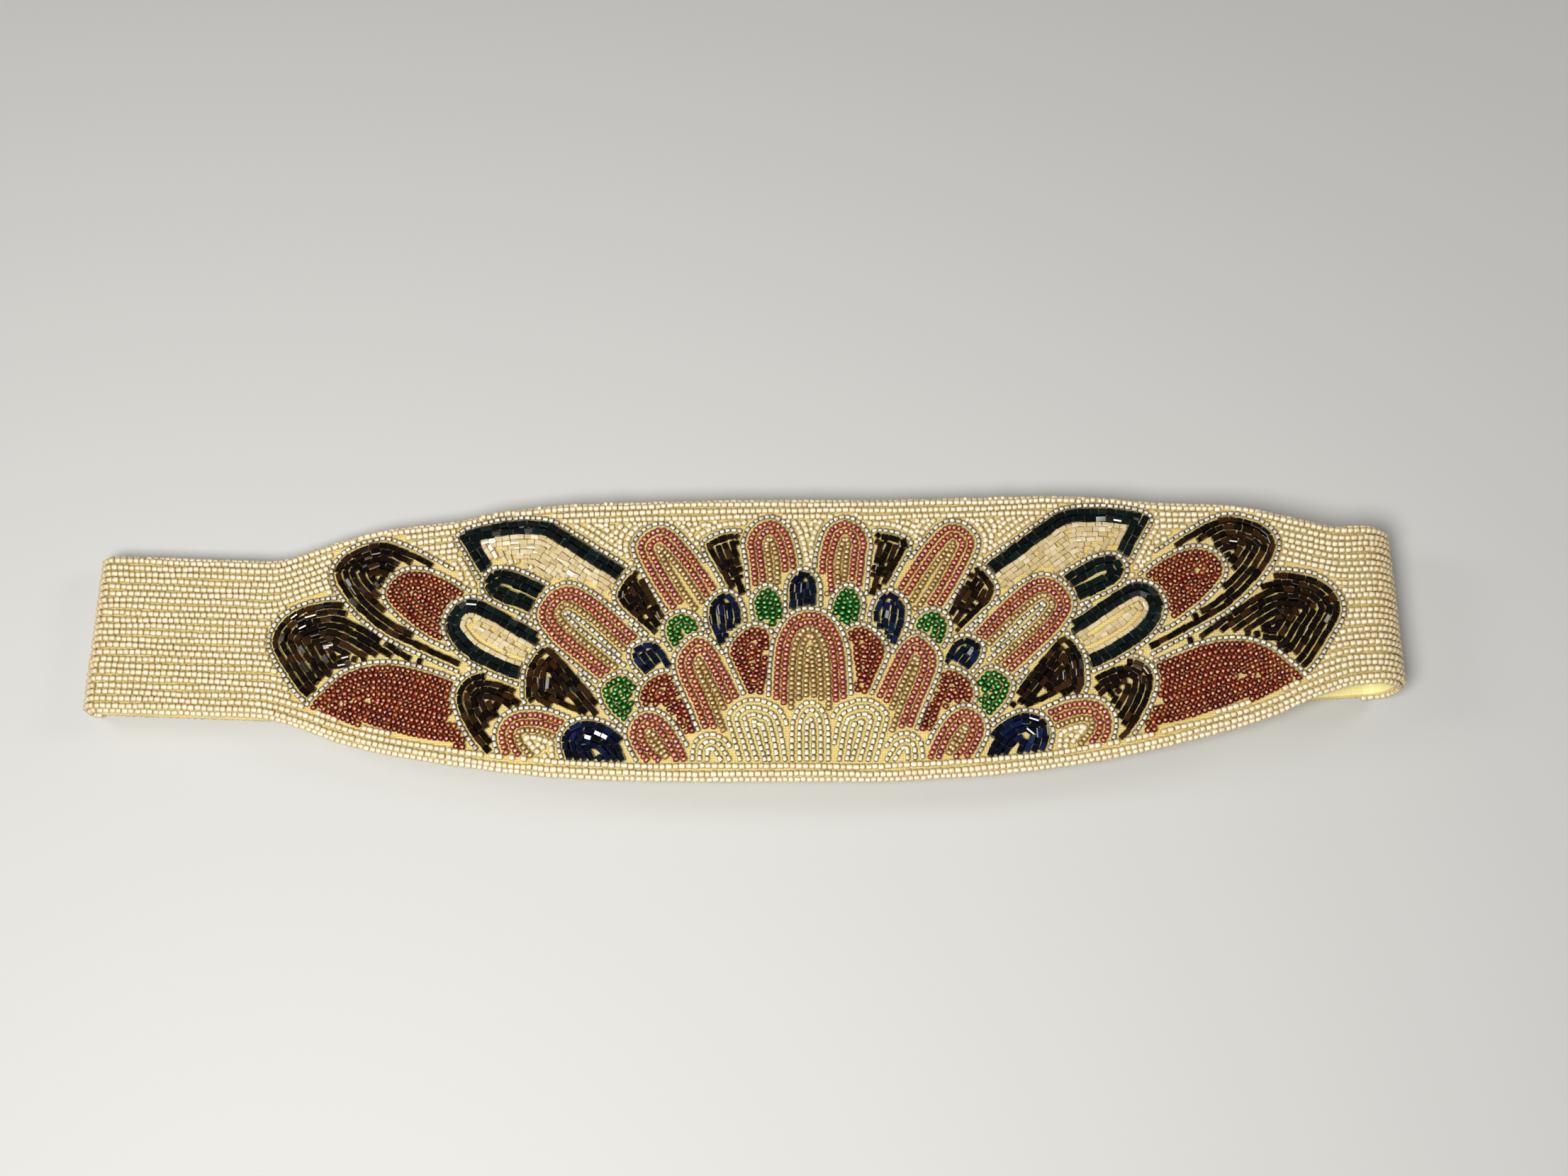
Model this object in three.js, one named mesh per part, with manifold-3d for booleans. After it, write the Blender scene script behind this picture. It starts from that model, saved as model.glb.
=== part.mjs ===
// A beaded dress belt that lies closed and flattened, front up: a shaped front panel worked with
// bead petals, a narrow band round the rest of the waist, and two lapped ends underneath.
// X runs along the belt, +Y to its upper edge, +Z up from the surface that it lies on. Millimetres.

import * as THREE from 'three';
import Module from 'manifold-3d';
import { mergeVertices } from 'three/addons/utils/BufferGeometryUtils.js';

const wasm = await Module();
wasm.setup();

// Layers, counted outward from the lining's inner face
const LINING = 1.0;
const CLOTH = 1.0;
const CLEAR = 0.3;
const GROUND_BEAD = 1.9;
const SEED_BEAD = 2.1;
const BUGLE_BEAD = 1.6;
const CLOTH_IN = LINING + CLEAR;
const BEAD_IN = CLOTH_IN + CLOTH + CLEAR;
const STACK = BEAD_IN + GROUND_BEAD;

// The flattened loop: the space inside it at the left fold, over the lapped ends and at the right
// end, which stands open, and how far its two ends reach
const FOLD_GAP = 1.6;
const WAIST_GAP = 5.5;
const BULB_GAP = 12.5;
const LEFT_REACH = 197;
const RIGHT_REACH = 154.2;
const BULB_RUN = 103;
const LEFT_SEGMENTS = 6;
const RIGHT_SEGMENTS = 8;
const SWAY = 8.5;

// The worked design: reach to the wings' corners on each side, its half height, and the band's
const LEFT_WING = 100;
const RIGHT_WING = 98;
const DESIGN_RISE = 40;
const BAND_HALF = 23;
const MIRROR_LINE = -0.4;
const OUTLINE_ROW = 2.2;
const FAN_ROW = 0.6;

// The lapped ends under the belt and the fastening strip between them
const LAP = 24;
const LAP_AT = -45;
const RAMP = 12.5;
const TAPE = 0.8;
const TAPE_LENGTH = 17;
const TAPE_HALF = 18;
const EDGE_INSET = 0.8;

// A corner this near a bend of the loop is taken onto it
const SNAP = 0.002;

// The front's edges in shares: reach, top, inner edge of the lower border, bottom
const EDGE = [
  { reach: 0.0, top: 1.055, hem: -0.883, bottom: -1.005 },
  { reach: 0.25, top: 1.05, hem: -0.883, bottom: -1.007 },
  { reach: 0.5, top: 1.033, hem: -0.883, bottom: -1.002 },
  { reach: 0.7, top: 1.015, hem: -0.865, bottom: -0.978 },
  { reach: 0.85, top: 0.97, hem: -0.832, bottom: -0.943 },
  { reach: 1.0, top: 0.89, hem: -0.765, bottom: -0.893 },
  { reach: 1.1, top: 0.855, hem: -0.715, bottom: -0.855 },
  { reach: 1.2, top: 0.823, hem: -0.655, bottom: -0.808 },
  { reach: 1.3, top: 0.763, hem: -0.595, bottom: -0.743 },
  { reach: 1.4, top: 0.67, hem: -0.49, bottom: -0.645 },
];

// Where the band begins beyond the front panel, and its border's inner edge there, in shares
const BAND_FROM = 1.5;
const BAND_HEM = -0.42;

// How the front rises from the left fold onto the lapped ends, how it climbs from there to the
// open right end, and how the belt lies a little off straight
const SETTLE = [
  { reach: -1.0, rise: 0.0 },
  { reach: -0.7, rise: 0.1 },
  { reach: -0.5, rise: 0.5 },
  { reach: -0.3, rise: 1.0 },
];
const CLIMB = [
  { run: 0.0, rise: 0.0 },
  { run: 0.15, rise: 0.04 },
  { run: 0.29, rise: 0.14 },
  { run: 0.44, rise: 0.31 },
  { run: 0.58, rise: 0.51 },
  { run: 0.7, rise: 0.69 },
  { run: 0.8, rise: 0.83 },
  { run: 0.9, rise: 0.95 },
  { run: 1.0, rise: 1.0 },
];
const LEAN = [
  { reach: -1.0, shift: 0.4 },
  { reach: -0.75, shift: 0.18 },
  { reach: -0.6, shift: 0.14 },
  { reach: -0.3, shift: 0.0 },
  { reach: 0.13, shift: 0.0 },
  { reach: 0.33, shift: 0.19 },
  { reach: 0.55, shift: 0.45 },
  { reach: 0.72, shift: 0.68 },
  { reach: 0.86, shift: 0.82 },
  { reach: 1.0, shift: 1.0 },
];

// The five lobes of the clear fan at the lower border, in shares of reach and rise
const FAN_CENTER = [
  [-0.058, -0.95], [-0.058, -0.62], [-0.035, -0.48], [0, -0.435],
  [0.035, -0.48], [0.058, -0.62], [0.058, -0.95],
];
const FAN_LARGE = [
  [-0.19, -0.95], [-0.22, -0.7], [-0.232, -0.54], [-0.185, -0.425],
  [-0.125, -0.43], [-0.08, -0.55], [-0.05, -0.95],
];
const FAN_SMALL = [
  [-0.33, -0.95], [-0.325, -0.75], [-0.285, -0.663], [-0.235, -0.688],
  [-0.2, -0.8], [-0.17, -0.95],
];

// Petals from the front of the design to its back. Each arch runs from one foot over the tip to
// the other foot, in shares of reach and rise; what lies in front of it covers its foot.
const CENTER_PETALS = [
  { name: 'arch_center', fill: 'rose', arch: [
    [-0.103, -0.58], [-0.1, -0.25], [-0.09, -0.02], [-0.055, 0.145], [0, 0.198],
    [0.055, 0.145], [0.09, -0.02], [0.1, -0.25], [0.103, -0.58]] },
  { name: 'bud_navy_center', fill: 'navy', arch: [
    [-0.056, 0.1], [-0.056, 0.37], [-0.04, 0.465], [-0.017, 0.495],
    [0.008, 0.465], [0.02, 0.37], [0.02, 0.1]] },
];
const PAIRED_PETALS = [
  { name: 'garnet_inner', fill: 'garnet', arch: [
    [-0.163, -0.43], [-0.2, -0.225], [-0.22, -0.088], [-0.195, 0.025],
    [-0.155, 0.085], [-0.117, 0.045], [-0.112, -0.1], [-0.13, -0.43]] },
  { name: 'rose_inner', fill: 'rose', arch: [
    [-0.275, -0.78], [-0.318, -0.5], [-0.36, -0.26], [-0.363, -0.125], [-0.315, 0.008],
    [-0.27, -0.05], [-0.235, -0.2], [-0.2, -0.375], [-0.17, -0.55]] },
  { name: 'rose_low', fill: 'rose', arch: [
    [-0.42, -0.95], [-0.465, -0.84], [-0.493, -0.69], [-0.475, -0.57],
    [-0.435, -0.533], [-0.39, -0.6], [-0.35, -0.75], [-0.32, -0.93]] },
  { name: 'garnet_low', fill: 'garnet', arch: [
    [-0.35, -0.7], [-0.45, -0.5], [-0.463, -0.388], [-0.435, -0.288],
    [-0.39, -0.258], [-0.36, -0.35], [-0.31, -0.675]] },
  { name: 'bud_green_top', fill: 'green', arch: [
    [-0.135, 0.06], [-0.15, 0.2], [-0.15, 0.3], [-0.12, 0.375],
    [-0.088, 0.313], [-0.073, 0.175], [-0.08, 0.05]] },
  { name: 'bud_navy_top', fill: 'navy', arch: [
    [-0.25, -0.05], [-0.275, 0.1], [-0.278, 0.238], [-0.245, 0.33],
    [-0.21, 0.3], [-0.19, 0.163], [-0.2, 0.02]] },
  { name: 'bud_green_mid', fill: 'green', arch: [
    [-0.375, -0.08], [-0.397, 0.038], [-0.39, 0.138], [-0.355, 0.18],
    [-0.318, 0.13], [-0.3, 0]] },
  { name: 'bud_navy_mid', fill: 'navy', arch: [
    [-0.44, -0.3], [-0.483, -0.175], [-0.488, -0.08], [-0.455, -0.03],
    [-0.42, -0.05], [-0.38, -0.2]] },
  { name: 'bud_green_low', fill: 'green', arch: [
    [-0.5, -0.62], [-0.55, -0.5], [-0.57, -0.375], [-0.545, -0.293],
    [-0.505, -0.275], [-0.455, -0.42]] },
  { name: 'rose_crown', fill: 'rose', arch: [
    [-0.158, 0.3], [-0.17, 0.6], [-0.176, 0.71], [-0.16, 0.82], [-0.12, 0.885],
    [-0.085, 0.865], [-0.055, 0.775], [-0.035, 0.55], [-0.04, 0.3]] },
  { name: 'brown_crown', fill: 'brown', arch: [
    [-0.2, 0.25], [-0.245, 0.463], [-0.29, 0.675], [-0.275, 0.738],
    [-0.22, 0.783], [-0.19, 0.75], [-0.176, 0.55], [-0.155, 0.275]] },
  { name: 'rose_upper', fill: 'rose', arch: [
    [-0.35, 0.075], [-0.405, 0.275], [-0.463, 0.525], [-0.487, 0.688], [-0.453, 0.808],
    [-0.403, 0.825], [-0.345, 0.688], [-0.29, 0.5], [-0.24, 0.3]] },
  { name: 'brown_upper', fill: 'brown', arch: [
    [-0.41, -0.025], [-0.47, 0.113], [-0.535, 0.288], [-0.515, 0.438],
    [-0.478, 0.49], [-0.44, 0.338], [-0.39, 0.1]] },
  { name: 'rose_side', fill: 'rose', arch: [
    [-0.54, -0.375], [-0.63, -0.188], [-0.72, 0.013], [-0.756, 0.175],
    [-0.725, 0.333], [-0.665, 0.385], [-0.585, 0.27], [-0.47, 0]] },
  { name: 'navy_low', fill: 'navy', arch: [
    [-0.635, -0.98], [-0.672, -0.775], [-0.66, -0.65], [-0.61, -0.593],
    [-0.55, -0.638], [-0.505, -0.738], [-0.465, -0.93]] },
  { name: 'rose_outer', fill: 'rose', arch: [
    [-0.79, -0.95], [-0.838, -0.813], [-0.85, -0.675], [-0.825, -0.563],
    [-0.77, -0.525], [-0.705, -0.55], [-0.64, -0.65], [-0.62, -0.95]] },
  { name: 'brown_side', fill: 'brown', arch: [
    [-0.62, -0.65], [-0.76, -0.488], [-0.78, -0.3], [-0.765, -0.15],
    [-0.725, -0.063], [-0.67, -0.188], [-0.61, -0.363], [-0.54, -0.575]] },
  { name: 'teal_small', fill: 'teal', arch: [
    [-0.74, 0.15], [-0.82, 0.23], [-0.885, 0.3], [-0.91, 0.395],
    [-0.888, 0.495], [-0.835, 0.495], [-0.765, 0.42], [-0.7, 0.325]] },
  { name: 'teal_oval', fill: 'teal', arch: [
    [-0.74, -0.35], [-0.86, -0.25], [-0.96, -0.108], [-1.01, 0.063], [-0.995, 0.22],
    [-0.945, 0.283], [-0.88, 0.225], [-0.785, 0.088], [-0.7, -0.025]] },
  { name: 'teal_wing', fill: 'teal', arch: [
    [-0.86, 0.1], [-0.915, 0.43], [-0.965, 0.65], [-0.988, 0.76], [-0.94, 0.825],
    [-0.845, 0.873], [-0.745, 0.868], [-0.675, 0.775], [-0.6, 0.65], [-0.5, 0.463],
    [-0.46, 0.15]] },
  { name: 'brown_outer', fill: 'brown', arch: [
    [-0.83, -0.93], [-0.905, -0.763], [-0.958, -0.55], [-0.97, -0.388],
    [-0.935, -0.28], [-0.875, -0.258], [-0.8, -0.325], [-0.73, -0.475]] },
  { name: 'garnet_leaf', fill: 'garnet', arch: [
    [-0.98, -0.075], [-1.06, 0.02], [-1.145, 0.175], [-1.188, 0.325],
    [-1.16, 0.458], [-1.1, 0.495], [-1.03, 0.438], [-0.955, 0.32]] },
  { name: 'garnet_wing', fill: 'garnet', arch: [
    [-0.94, -0.85], [-1.1, -0.8], [-1.28, -0.66], [-1.375, -0.525], [-1.34, -0.388],
    [-1.275, -0.25], [-1.185, -0.2], [-1.08, -0.238], [-0.92, -0.375]] },
  { name: 'feather_upper', fill: 'brown', arch: [
    [-0.965, -0.22], [-1.07, -0.105], [-1.19, 0.043], [-1.29, 0.258], [-1.34, 0.475],
    [-1.305, 0.633], [-1.21, 0.715], [-1.115, 0.633], [-1.005, 0.483]] },
  { name: 'feather_lower', fill: 'brown', arch: [
    [-1.08, -0.3], [-1.28, -0.475], [-1.383, -0.45], [-1.46, -0.225], [-1.5, -0.038],
    [-1.473, 0.138], [-1.395, 0.245], [-1.28, 0.238], [-1.065, -0.075]] },
];

const HEIGHT_OF = {
  rose: SEED_BEAD, garnet: SEED_BEAD, green: SEED_BEAD,
  navy: BUGLE_BEAD, brown: BUGLE_BEAD, teal: BUGLE_BEAD,
};

// Materials, from the beads' own colours
function finish(color, roughness, metalness = 0) {
  return new THREE.MeshStandardMaterial({ color, roughness, metalness });
}
const LOOKS = {
  ground: finish(0xe6d6a0, 0.3),
  fan: finish(0xe9e2c4, 0.25, 0.2),
  rose: finish(0xb0655e, 0.3, 0.2),
  garnet: finish(0x7a1a1c, 0.25, 0.2),
  green: finish(0x0e5a22, 0.25, 0.1),
  navy: finish(0x101a34, 0.2, 0.3),
  brown: finish(0x22150d, 0.2, 0.3),
  teal: finish(0x10211f, 0.2, 0.3),
  cloth: finish(0xe3cf7a, 0.85),
  lining: finish(0xe8dc8e, 0.55),
  tape: finish(0xe4dcc0, 0.9),
};

const lerp = THREE.MathUtils.lerp;

function lookUp(table, key, value, at) {
  let i = 1;
  while (i < table.length - 1 && at > table[i][key]) i += 1;
  const [a, b] = [table[i - 1], table[i]];
  const share = THREE.MathUtils.clamp((at - a[key]) / (b[key] - a[key]), 0, 1);
  return lerp(a[value], b[value], share);
}

// Where the belt lies, seen from above: its sideways lean at x
function leanAt(x) {
  const reach = x < 0 ? x / LEFT_REACH : x / RIGHT_REACH;
  return SWAY * lookUp(LEAN, 'reach', 'shift', reach);
}

// The loop's path through the lining's inner face, from the tab under the lap, round the left
// end, along the front and round the right end to the outer end of the lap.
const BACK_Z = STACK;
const TAB_Z = BACK_Z + CLEAR + TAPE + CLEAR + CLOTH_IN + CLOTH;
const LEFT_RADIUS = FOLD_GAP / 2;
const RIGHT_RADIUS = BULB_GAP / 2;

function arc(cx, cz, radius, from, to, steps) {
  const points = [];
  for (let i = 0; i <= steps; i += 1) {
    const angle = THREE.MathUtils.degToRad(lerp(from, to, i / steps));
    points.push({ x: cx + radius * Math.cos(angle), z: cz + radius * Math.sin(angle) });
  }
  return points;
}

function kneesBetween(low, high) {
  const knees = LEAN.map((row) => row.reach * (row.reach < 0 ? LEFT_REACH : RIGHT_REACH));
  return knees.filter((x) => x > low + 1 && x < high - 1);
}

const climbStart = RIGHT_REACH - BULB_RUN;
const frontStops = [...new Set([
  ...SETTLE.map((row) => row.reach * LEFT_REACH),
  ...kneesBetween(LEFT_REACH * SETTLE[SETTLE.length - 1].reach, climbStart),
  ...CLIMB.map((row) => climbStart + row.run * BULB_RUN),
])].sort((a, b) => a - b);
const frontPath = frontStops.map((x) => ({
  x,
  z: BACK_Z + FOLD_GAP
    + (WAIST_GAP - FOLD_GAP) * lookUp(SETTLE, 'reach', 'rise', x / LEFT_REACH)
    + (BULB_GAP - WAIST_GAP) * lookUp(CLIMB, 'run', 'rise', (x - climbStart) / BULB_RUN),
}));
const leftPath = [
  ...arc(-LEFT_REACH, BACK_Z + LEFT_RADIUS, LEFT_RADIUS, 90, 270, LEFT_SEGMENTS).slice(1),
  ...kneesBetween(-LEFT_REACH, LAP_AT - 1 - RAMP).map((x) => ({ x, z: BACK_Z })),
  { x: LAP_AT - 1 - RAMP, z: BACK_Z },
  { x: LAP_AT - 1, z: TAB_Z },
  { x: LAP_AT + LAP, z: TAB_Z },
];
const rightPath = [
  ...arc(RIGHT_REACH, BACK_Z + RIGHT_RADIUS, RIGHT_RADIUS, 90, -90, RIGHT_SEGMENTS).slice(1),
  ...kneesBetween(LAP_AT, RIGHT_REACH).reverse().map((x) => ({ x, z: BACK_Z })),
  { x: LAP_AT, z: BACK_Z },
];

// Each path point keeps its place along the strip; on the front this place is simply x.
function measure(points, start, direction) {
  let place = start.place;
  let last = start;
  for (const point of points) {
    place += direction * Math.hypot(point.x - last.x, point.z - last.z);
    point.place = place;
    last = point;
  }
}
frontPath.forEach((point) => {
  point.place = point.x;
});
measure(leftPath, frontPath[0], -1);
measure(rightPath, frontPath[frontPath.length - 1], 1);
const path = [...leftPath.reverse(), ...frontPath, ...rightPath];
path.forEach((point, i) => {
  const before = path[Math.max(i - 1, 0)];
  const after = path[Math.min(i + 1, path.length - 1)];
  const normals = [[before, point], [point, after]].filter(([a, b]) => a !== b).map(([a, b]) => {
    const length = Math.hypot(b.x - a.x, b.z - a.z);
    return [-(b.z - a.z) / length, (b.x - a.x) / length];
  });
  const [m, n] = [normals[0], normals[normals.length - 1]];
  const scale = 1 + m[0] * n[0] + m[1] * n[1];
  point.out = [(m[0] + n[0]) / scale, (m[1] + n[1]) / scale];
  point.lean = leanAt(point.x);
});

const TAB_END = path[0].place;
const LAP_END = path[path.length - 1].place;
const LEFT_FOLD_END = path.find((point) => (
  Math.abs(point.x + LEFT_REACH) < 1e-6 && Math.abs(point.z - BACK_Z) < 1e-6
)).place;

function placeOnLoop(place, y, out) {
  let i = 1;
  while (i < path.length - 1 && place > path[i].place) i += 1;
  const [a, b] = [path[i - 1], path[i]];
  const share = (place - a.place) / (b.place - a.place);
  return [
    lerp(a.x + a.out[0] * out, b.x + b.out[0] * out, share),
    y + lerp(a.lean, b.lean, share),
    lerp(a.z + a.out[1] * out, b.z + b.out[1] * out, share),
  ];
}

// Closed meshes to solids for cutting, and back
function solidFrom(geometry) {
  const bare = geometry.clone();
  bare.deleteAttribute('normal');
  bare.deleteAttribute('uv');
  const merged = mergeVertices(bare, 1e-5);
  return new wasm.Manifold(new wasm.Mesh({
    numProp: 3,
    vertProperties: new Float32Array(merged.attributes.position.array),
    triVerts: new Uint32Array(merged.index.array),
  }));
}

// A flat prism over an outline on the unrolled strip, between two distances out from the lining
function prism(outline, low, high) {
  const shape = new THREE.Shape(outline.map(([x, y]) => new THREE.Vector2(x, y)));
  const geometry = new THREE.ExtrudeGeometry(shape, { depth: high - low, bevelEnabled: false });
  geometry.translate(0, 0, low);
  return solidFrom(geometry);
}

// Where one side of a cut has a corner that the other lacks, the other's triangle is split there.
function sew(corners, triangles) {
  const owners = new Map();
  const own = (triangle) => {
    triangle.forEach((v, k) => owners.set(`${v},${triangle[(k + 1) % 3]}`, triangle));
  };
  triangles.forEach(own);
  const open = [...owners.keys()].map((key) => key.split(',').map(Number))
    .filter(([a, b]) => !owners.has(`${b},${a}`));
  const rim = [...new Set(open.flat())];
  const kept = new Set(triangles);
  for (const [a, b] of open) {
    const [start, end] = [corners[a], corners[b]];
    const between = rim.filter((v) => v !== a && v !== b
      && Math.abs(corners[v][0] - start[0]) < 1e-6 && Math.abs(corners[v][2] - start[2]) < 1e-3
      && (corners[v][1] - start[1]) * (end[1] - corners[v][1]) > 0);
    between.sort((v, w) => (corners[v][1] - corners[w][1]) * Math.sign(end[1] - start[1]));
    let last = a;
    for (const v of between) {
      const triangle = owners.get(`${last},${b}`);
      const apex = triangle.find((corner) => corner !== last && corner !== b);
      kept.delete(triangle);
      for (const half of [[last, v, apex], [v, b, apex]]) {
        kept.add(half);
        own(half);
      }
      last = v;
    }
  }
  return [...kept];
}

// Rolls a flat solid onto the loop: it is cut at each bend of the path, so every face stays flat.
function rollOn(flat) {
  const box = flat.boundingBox();
  const corners = [];
  const cells = new Map();
  const vertexAt = (x, y, z) => {
    const cell = [x, y, z].map((value) => Math.round(value / SNAP));
    for (const i of [0, -1, 1]) {
      for (const j of [0, -1, 1]) {
        for (const v of cells.get(`${cell[0] + i},${cell[1] + j},${cell[2]}`) ?? []) {
          if (Math.hypot(corners[v][0] - x, corners[v][1] - y) < SNAP / 4) return v;
        }
      }
    }
    const key = cell.join(',');
    cells.set(key, [...(cells.get(key) ?? []), corners.length]);
    corners.push([x, y, z]);
    return corners.length - 1;
  };
  const triangles = [];
  const bends = path.map((point) => point.place)
    .filter((place) => place > box.min[0] + CLEAR && place < box.max[0] - CLEAR);
  const stops = [box.min[0] - 1, ...bends, box.max[0] + 1];
  for (let b = 1; b < stops.length; b += 1) {
    const [from, to] = [stops[b - 1], stops[b]];
    const slab = prism([[from, -200], [to, -200], [to, 200], [from, 200]], -50, 50);
    const part = flat.intersect(slab).getMesh();
    const points = [];
    for (let v = 0; v < part.vertProperties.length; v += part.numProp) {
      const [x, y, z] = part.vertProperties.slice(v, v + 3);
      points.push([bends.find((place) => Math.abs(place - x) < SNAP) ?? x, y, z]);
    }
    for (let t = 0; t < part.triVerts.length; t += 3) {
      const three = [0, 1, 2].map((k) => points[part.triVerts[t + k]]);
      const inside = bends.some((place) => three.every((point) => point[0] === place));
      const indices = three.map((point) => vertexAt(...point));
      if (!inside && new Set(indices).size === 3) triangles.push(indices);
    }
  }
  const geometry = new THREE.BufferGeometry();
  const positions = corners.flatMap((corner) => placeOnLoop(...corner));
  geometry.setAttribute('position', new THREE.Float32BufferAttribute(positions, 3));
  geometry.setIndex(sew(corners, triangles).flat());
  geometry.computeVertexNormals();
  return geometry;
}

// The design's arches in millimetres on the unrolled strip
function smooth(arch, mirrored) {
  const points = arch.map(([reach, rise]) => new THREE.Vector2(
    mirrored ? 2 * MIRROR_LINE - reach * RIGHT_WING : reach * LEFT_WING,
    rise * DESIGN_RISE,
  ));
  if (mirrored) points.reverse();
  const curve = new THREE.SplineCurve(points);
  return curve.getPoints(2 * (points.length - 1)).map((point) => [point.x, point.y]);
}

// An outline grown outward by a distance, with its corners mitred
function grow(outline, distance) {
  const clockwise = THREE.ShapeUtils.area(outline.map(([x, y]) => ({ x, y }))) < 0;
  const points = clockwise ? [...outline].reverse() : outline;
  return points.map((point, i) => {
    const before = points[(i + points.length - 1) % points.length];
    const after = points[(i + 1) % points.length];
    const m = new THREE.Vector2(point[1] - before[1], before[0] - point[0]).normalize();
    const n = new THREE.Vector2(after[1] - point[1], point[0] - after[0]).normalize();
    const scale = distance / Math.max(1 + m.dot(n), 0.5);
    return [point[0] + (m.x + n.x) * scale, point[1] + (m.y + n.y) * scale];
  });
}

// The strip's edges: the front's own outline in the middle, the plain band beyond it
function edgePoints(value, beyond) {
  const left = EDGE.slice(1).reverse().map((row) => (
    [-row.reach * LEFT_WING, row[value] * DESIGN_RISE]
  ));
  const right = EDGE.map((row) => (
    [row.reach * RIGHT_WING + (row.reach ? 2 * MIRROR_LINE : 0), row[value] * DESIGN_RISE]
  ));
  return [
    [-BAND_FROM * LEFT_WING, beyond], ...left, ...right, [BAND_FROM * RIGHT_WING, beyond],
  ];
}

function stripOutline(from, to, inset) {
  const shift = (points, by) => points
    .filter(([place]) => place > from && place < to)
    .map(([place, y]) => [place, y + by]);
  const low = shift(edgePoints('bottom', -BAND_HALF), inset);
  const high = shift(edgePoints('top', BAND_HALF), -inset).reverse();
  return [
    [from, -BAND_HALF + inset], ...low, [to, -BAND_HALF + inset],
    [to, BAND_HALF - inset], ...high, [from, BAND_HALF - inset],
  ];
}

function hemBlock(lower) {
  const hem = edgePoints('hem', BAND_HEM * DESIGN_RISE).map(([place, y]) => [place, y - lower]);
  const last = hem[hem.length - 1];
  return prism([[hem[0][0] - 40, -80], [last[0] + 40, -80], [last[0] + 40, last[1]],
    ...[...hem].reverse(), [hem[0][0] - 40, hem[0][1]]], -1, STACK + 2);
}

function largest(solid) {
  return solid.decompose().sort((a, b) => b.volume() - a.volume())[0];
}

const group = new THREE.Group();

function add(name, geometry, material) {
  const mesh = new THREE.Mesh(geometry, material);
  mesh.name = name;
  group.add(mesh);
}

// Bead fields: each is its arch less everything in front of it and the outline row round that.
let behindFields = hemBlock(0);
let behindWindows = hemBlock(CLEAR);
let windows = null;

function addField(name, fill, outlines, row) {
  const top = BEAD_IN + (HEIGHT_OF[fill] ?? GROUND_BEAD);
  const joined = (by, low, high) => outlines
    .map((outline) => prism(grow(outline, by), low, high))
    .reduce((a, b) => a.add(b));
  const field = largest(joined(0, BEAD_IN, top).subtract(behindFields));
  const windowCut = joined(CLEAR, BEAD_IN - 1, STACK + 1).subtract(behindWindows);
  windows = windows ? windows.add(windowCut) : windowCut;
  behindFields = behindFields.add(joined(row, -1, STACK + 2));
  behindWindows = behindWindows.add(joined(row - CLEAR, -1, STACK + 2));
  add(name, rollOn(field), LOOKS[fill]);
}

const lobes = [FAN_LARGE, FAN_SMALL].flatMap((lobe) => [smooth(lobe, false), smooth(lobe, true)]);
addField('cream_fan', 'fan', [smooth(FAN_CENTER, false), ...lobes], FAN_ROW);
for (const petal of CENTER_PETALS) {
  addField(petal.name, petal.fill, [smooth(petal.arch, false)], OUTLINE_ROW);
}
for (const petal of PAIRED_PETALS) {
  addField(`${petal.name}_left`, petal.fill, [smooth(petal.arch, false)], OUTLINE_ROW);
  addField(`${petal.name}_right`, petal.fill, [smooth(petal.arch, true)], OUTLINE_ROW);
}

// Ground beads: the front with its windows and both end folds, then the two ends underneath
const RIGHT_FOLD_END = path.find((point) => (
  point.place > RIGHT_REACH + 1 && Math.abs(point.z - BACK_Z) < 1e-6
)).place;
const RAMP_FOOT = path[2].place;
const ground = prism(
  stripOutline(LEFT_FOLD_END + CLEAR, RIGHT_FOLD_END - CLEAR, 0), BEAD_IN, STACK,
);
add('beads_front', rollOn(largest(ground.subtract(windows))), LOOKS.ground);
const backLeft = stripOutline(RAMP_FOOT, LEFT_FOLD_END, 0);
add('beads_back_left', rollOn(prism(backLeft, BEAD_IN, STACK)), LOOKS.ground);
const backRight = stripOutline(RIGHT_FOLD_END, LAP_END, 0);
add('beads_back_right', rollOn(prism(backRight, BEAD_IN, STACK)), LOOKS.ground);

// The cloth that the beads are sewn to and the lining inside it, each one strip for the whole loop
const clothStrip = stripOutline(TAB_END, LAP_END, EDGE_INSET);
add('cloth_band', rollOn(prism(clothStrip, CLOTH_IN, CLOTH_IN + CLOTH)), LOOKS.cloth);
const liningStrip = stripOutline(TAB_END, LAP_END, EDGE_INSET + CLEAR);
add('lining', rollOn(prism(liningStrip, 0, LINING)), LOOKS.lining);

// The fastening strip lies on the outer end's lining, under the tab.
const tapeGeometry = new THREE.BoxGeometry(TAPE_LENGTH, 2 * TAPE_HALF, TAPE);
tapeGeometry.translate(LAP_AT + LAP / 2, leanAt(LAP_AT), BACK_Z + CLEAR + TAPE / 2);
add('closure_tape', tapeGeometry, LOOKS.tape);

// The origin is the middle of the belt's footprint, on the surface that it lies on.
const extent = new THREE.Box3().setFromObject(group);
group.position.set(
  -(extent.min.x + extent.max.x) / 2, -(extent.min.y + extent.max.y) / 2, -extent.min.z,
);
group.updateMatrixWorld(true);

export default group;
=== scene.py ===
"""Looks of a beaded dress belt that lies closed and flattened, front up.

Cloth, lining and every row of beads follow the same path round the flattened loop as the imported
solids. Places on the unrolled strip are (place, y, out): along the belt from the middle of the
design, up from the middle of its height, and outward from the lining's inner face. Lengths are
millimetres until a mesh is made, which is in metres.
"""

import math
from collections import namedtuple

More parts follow.
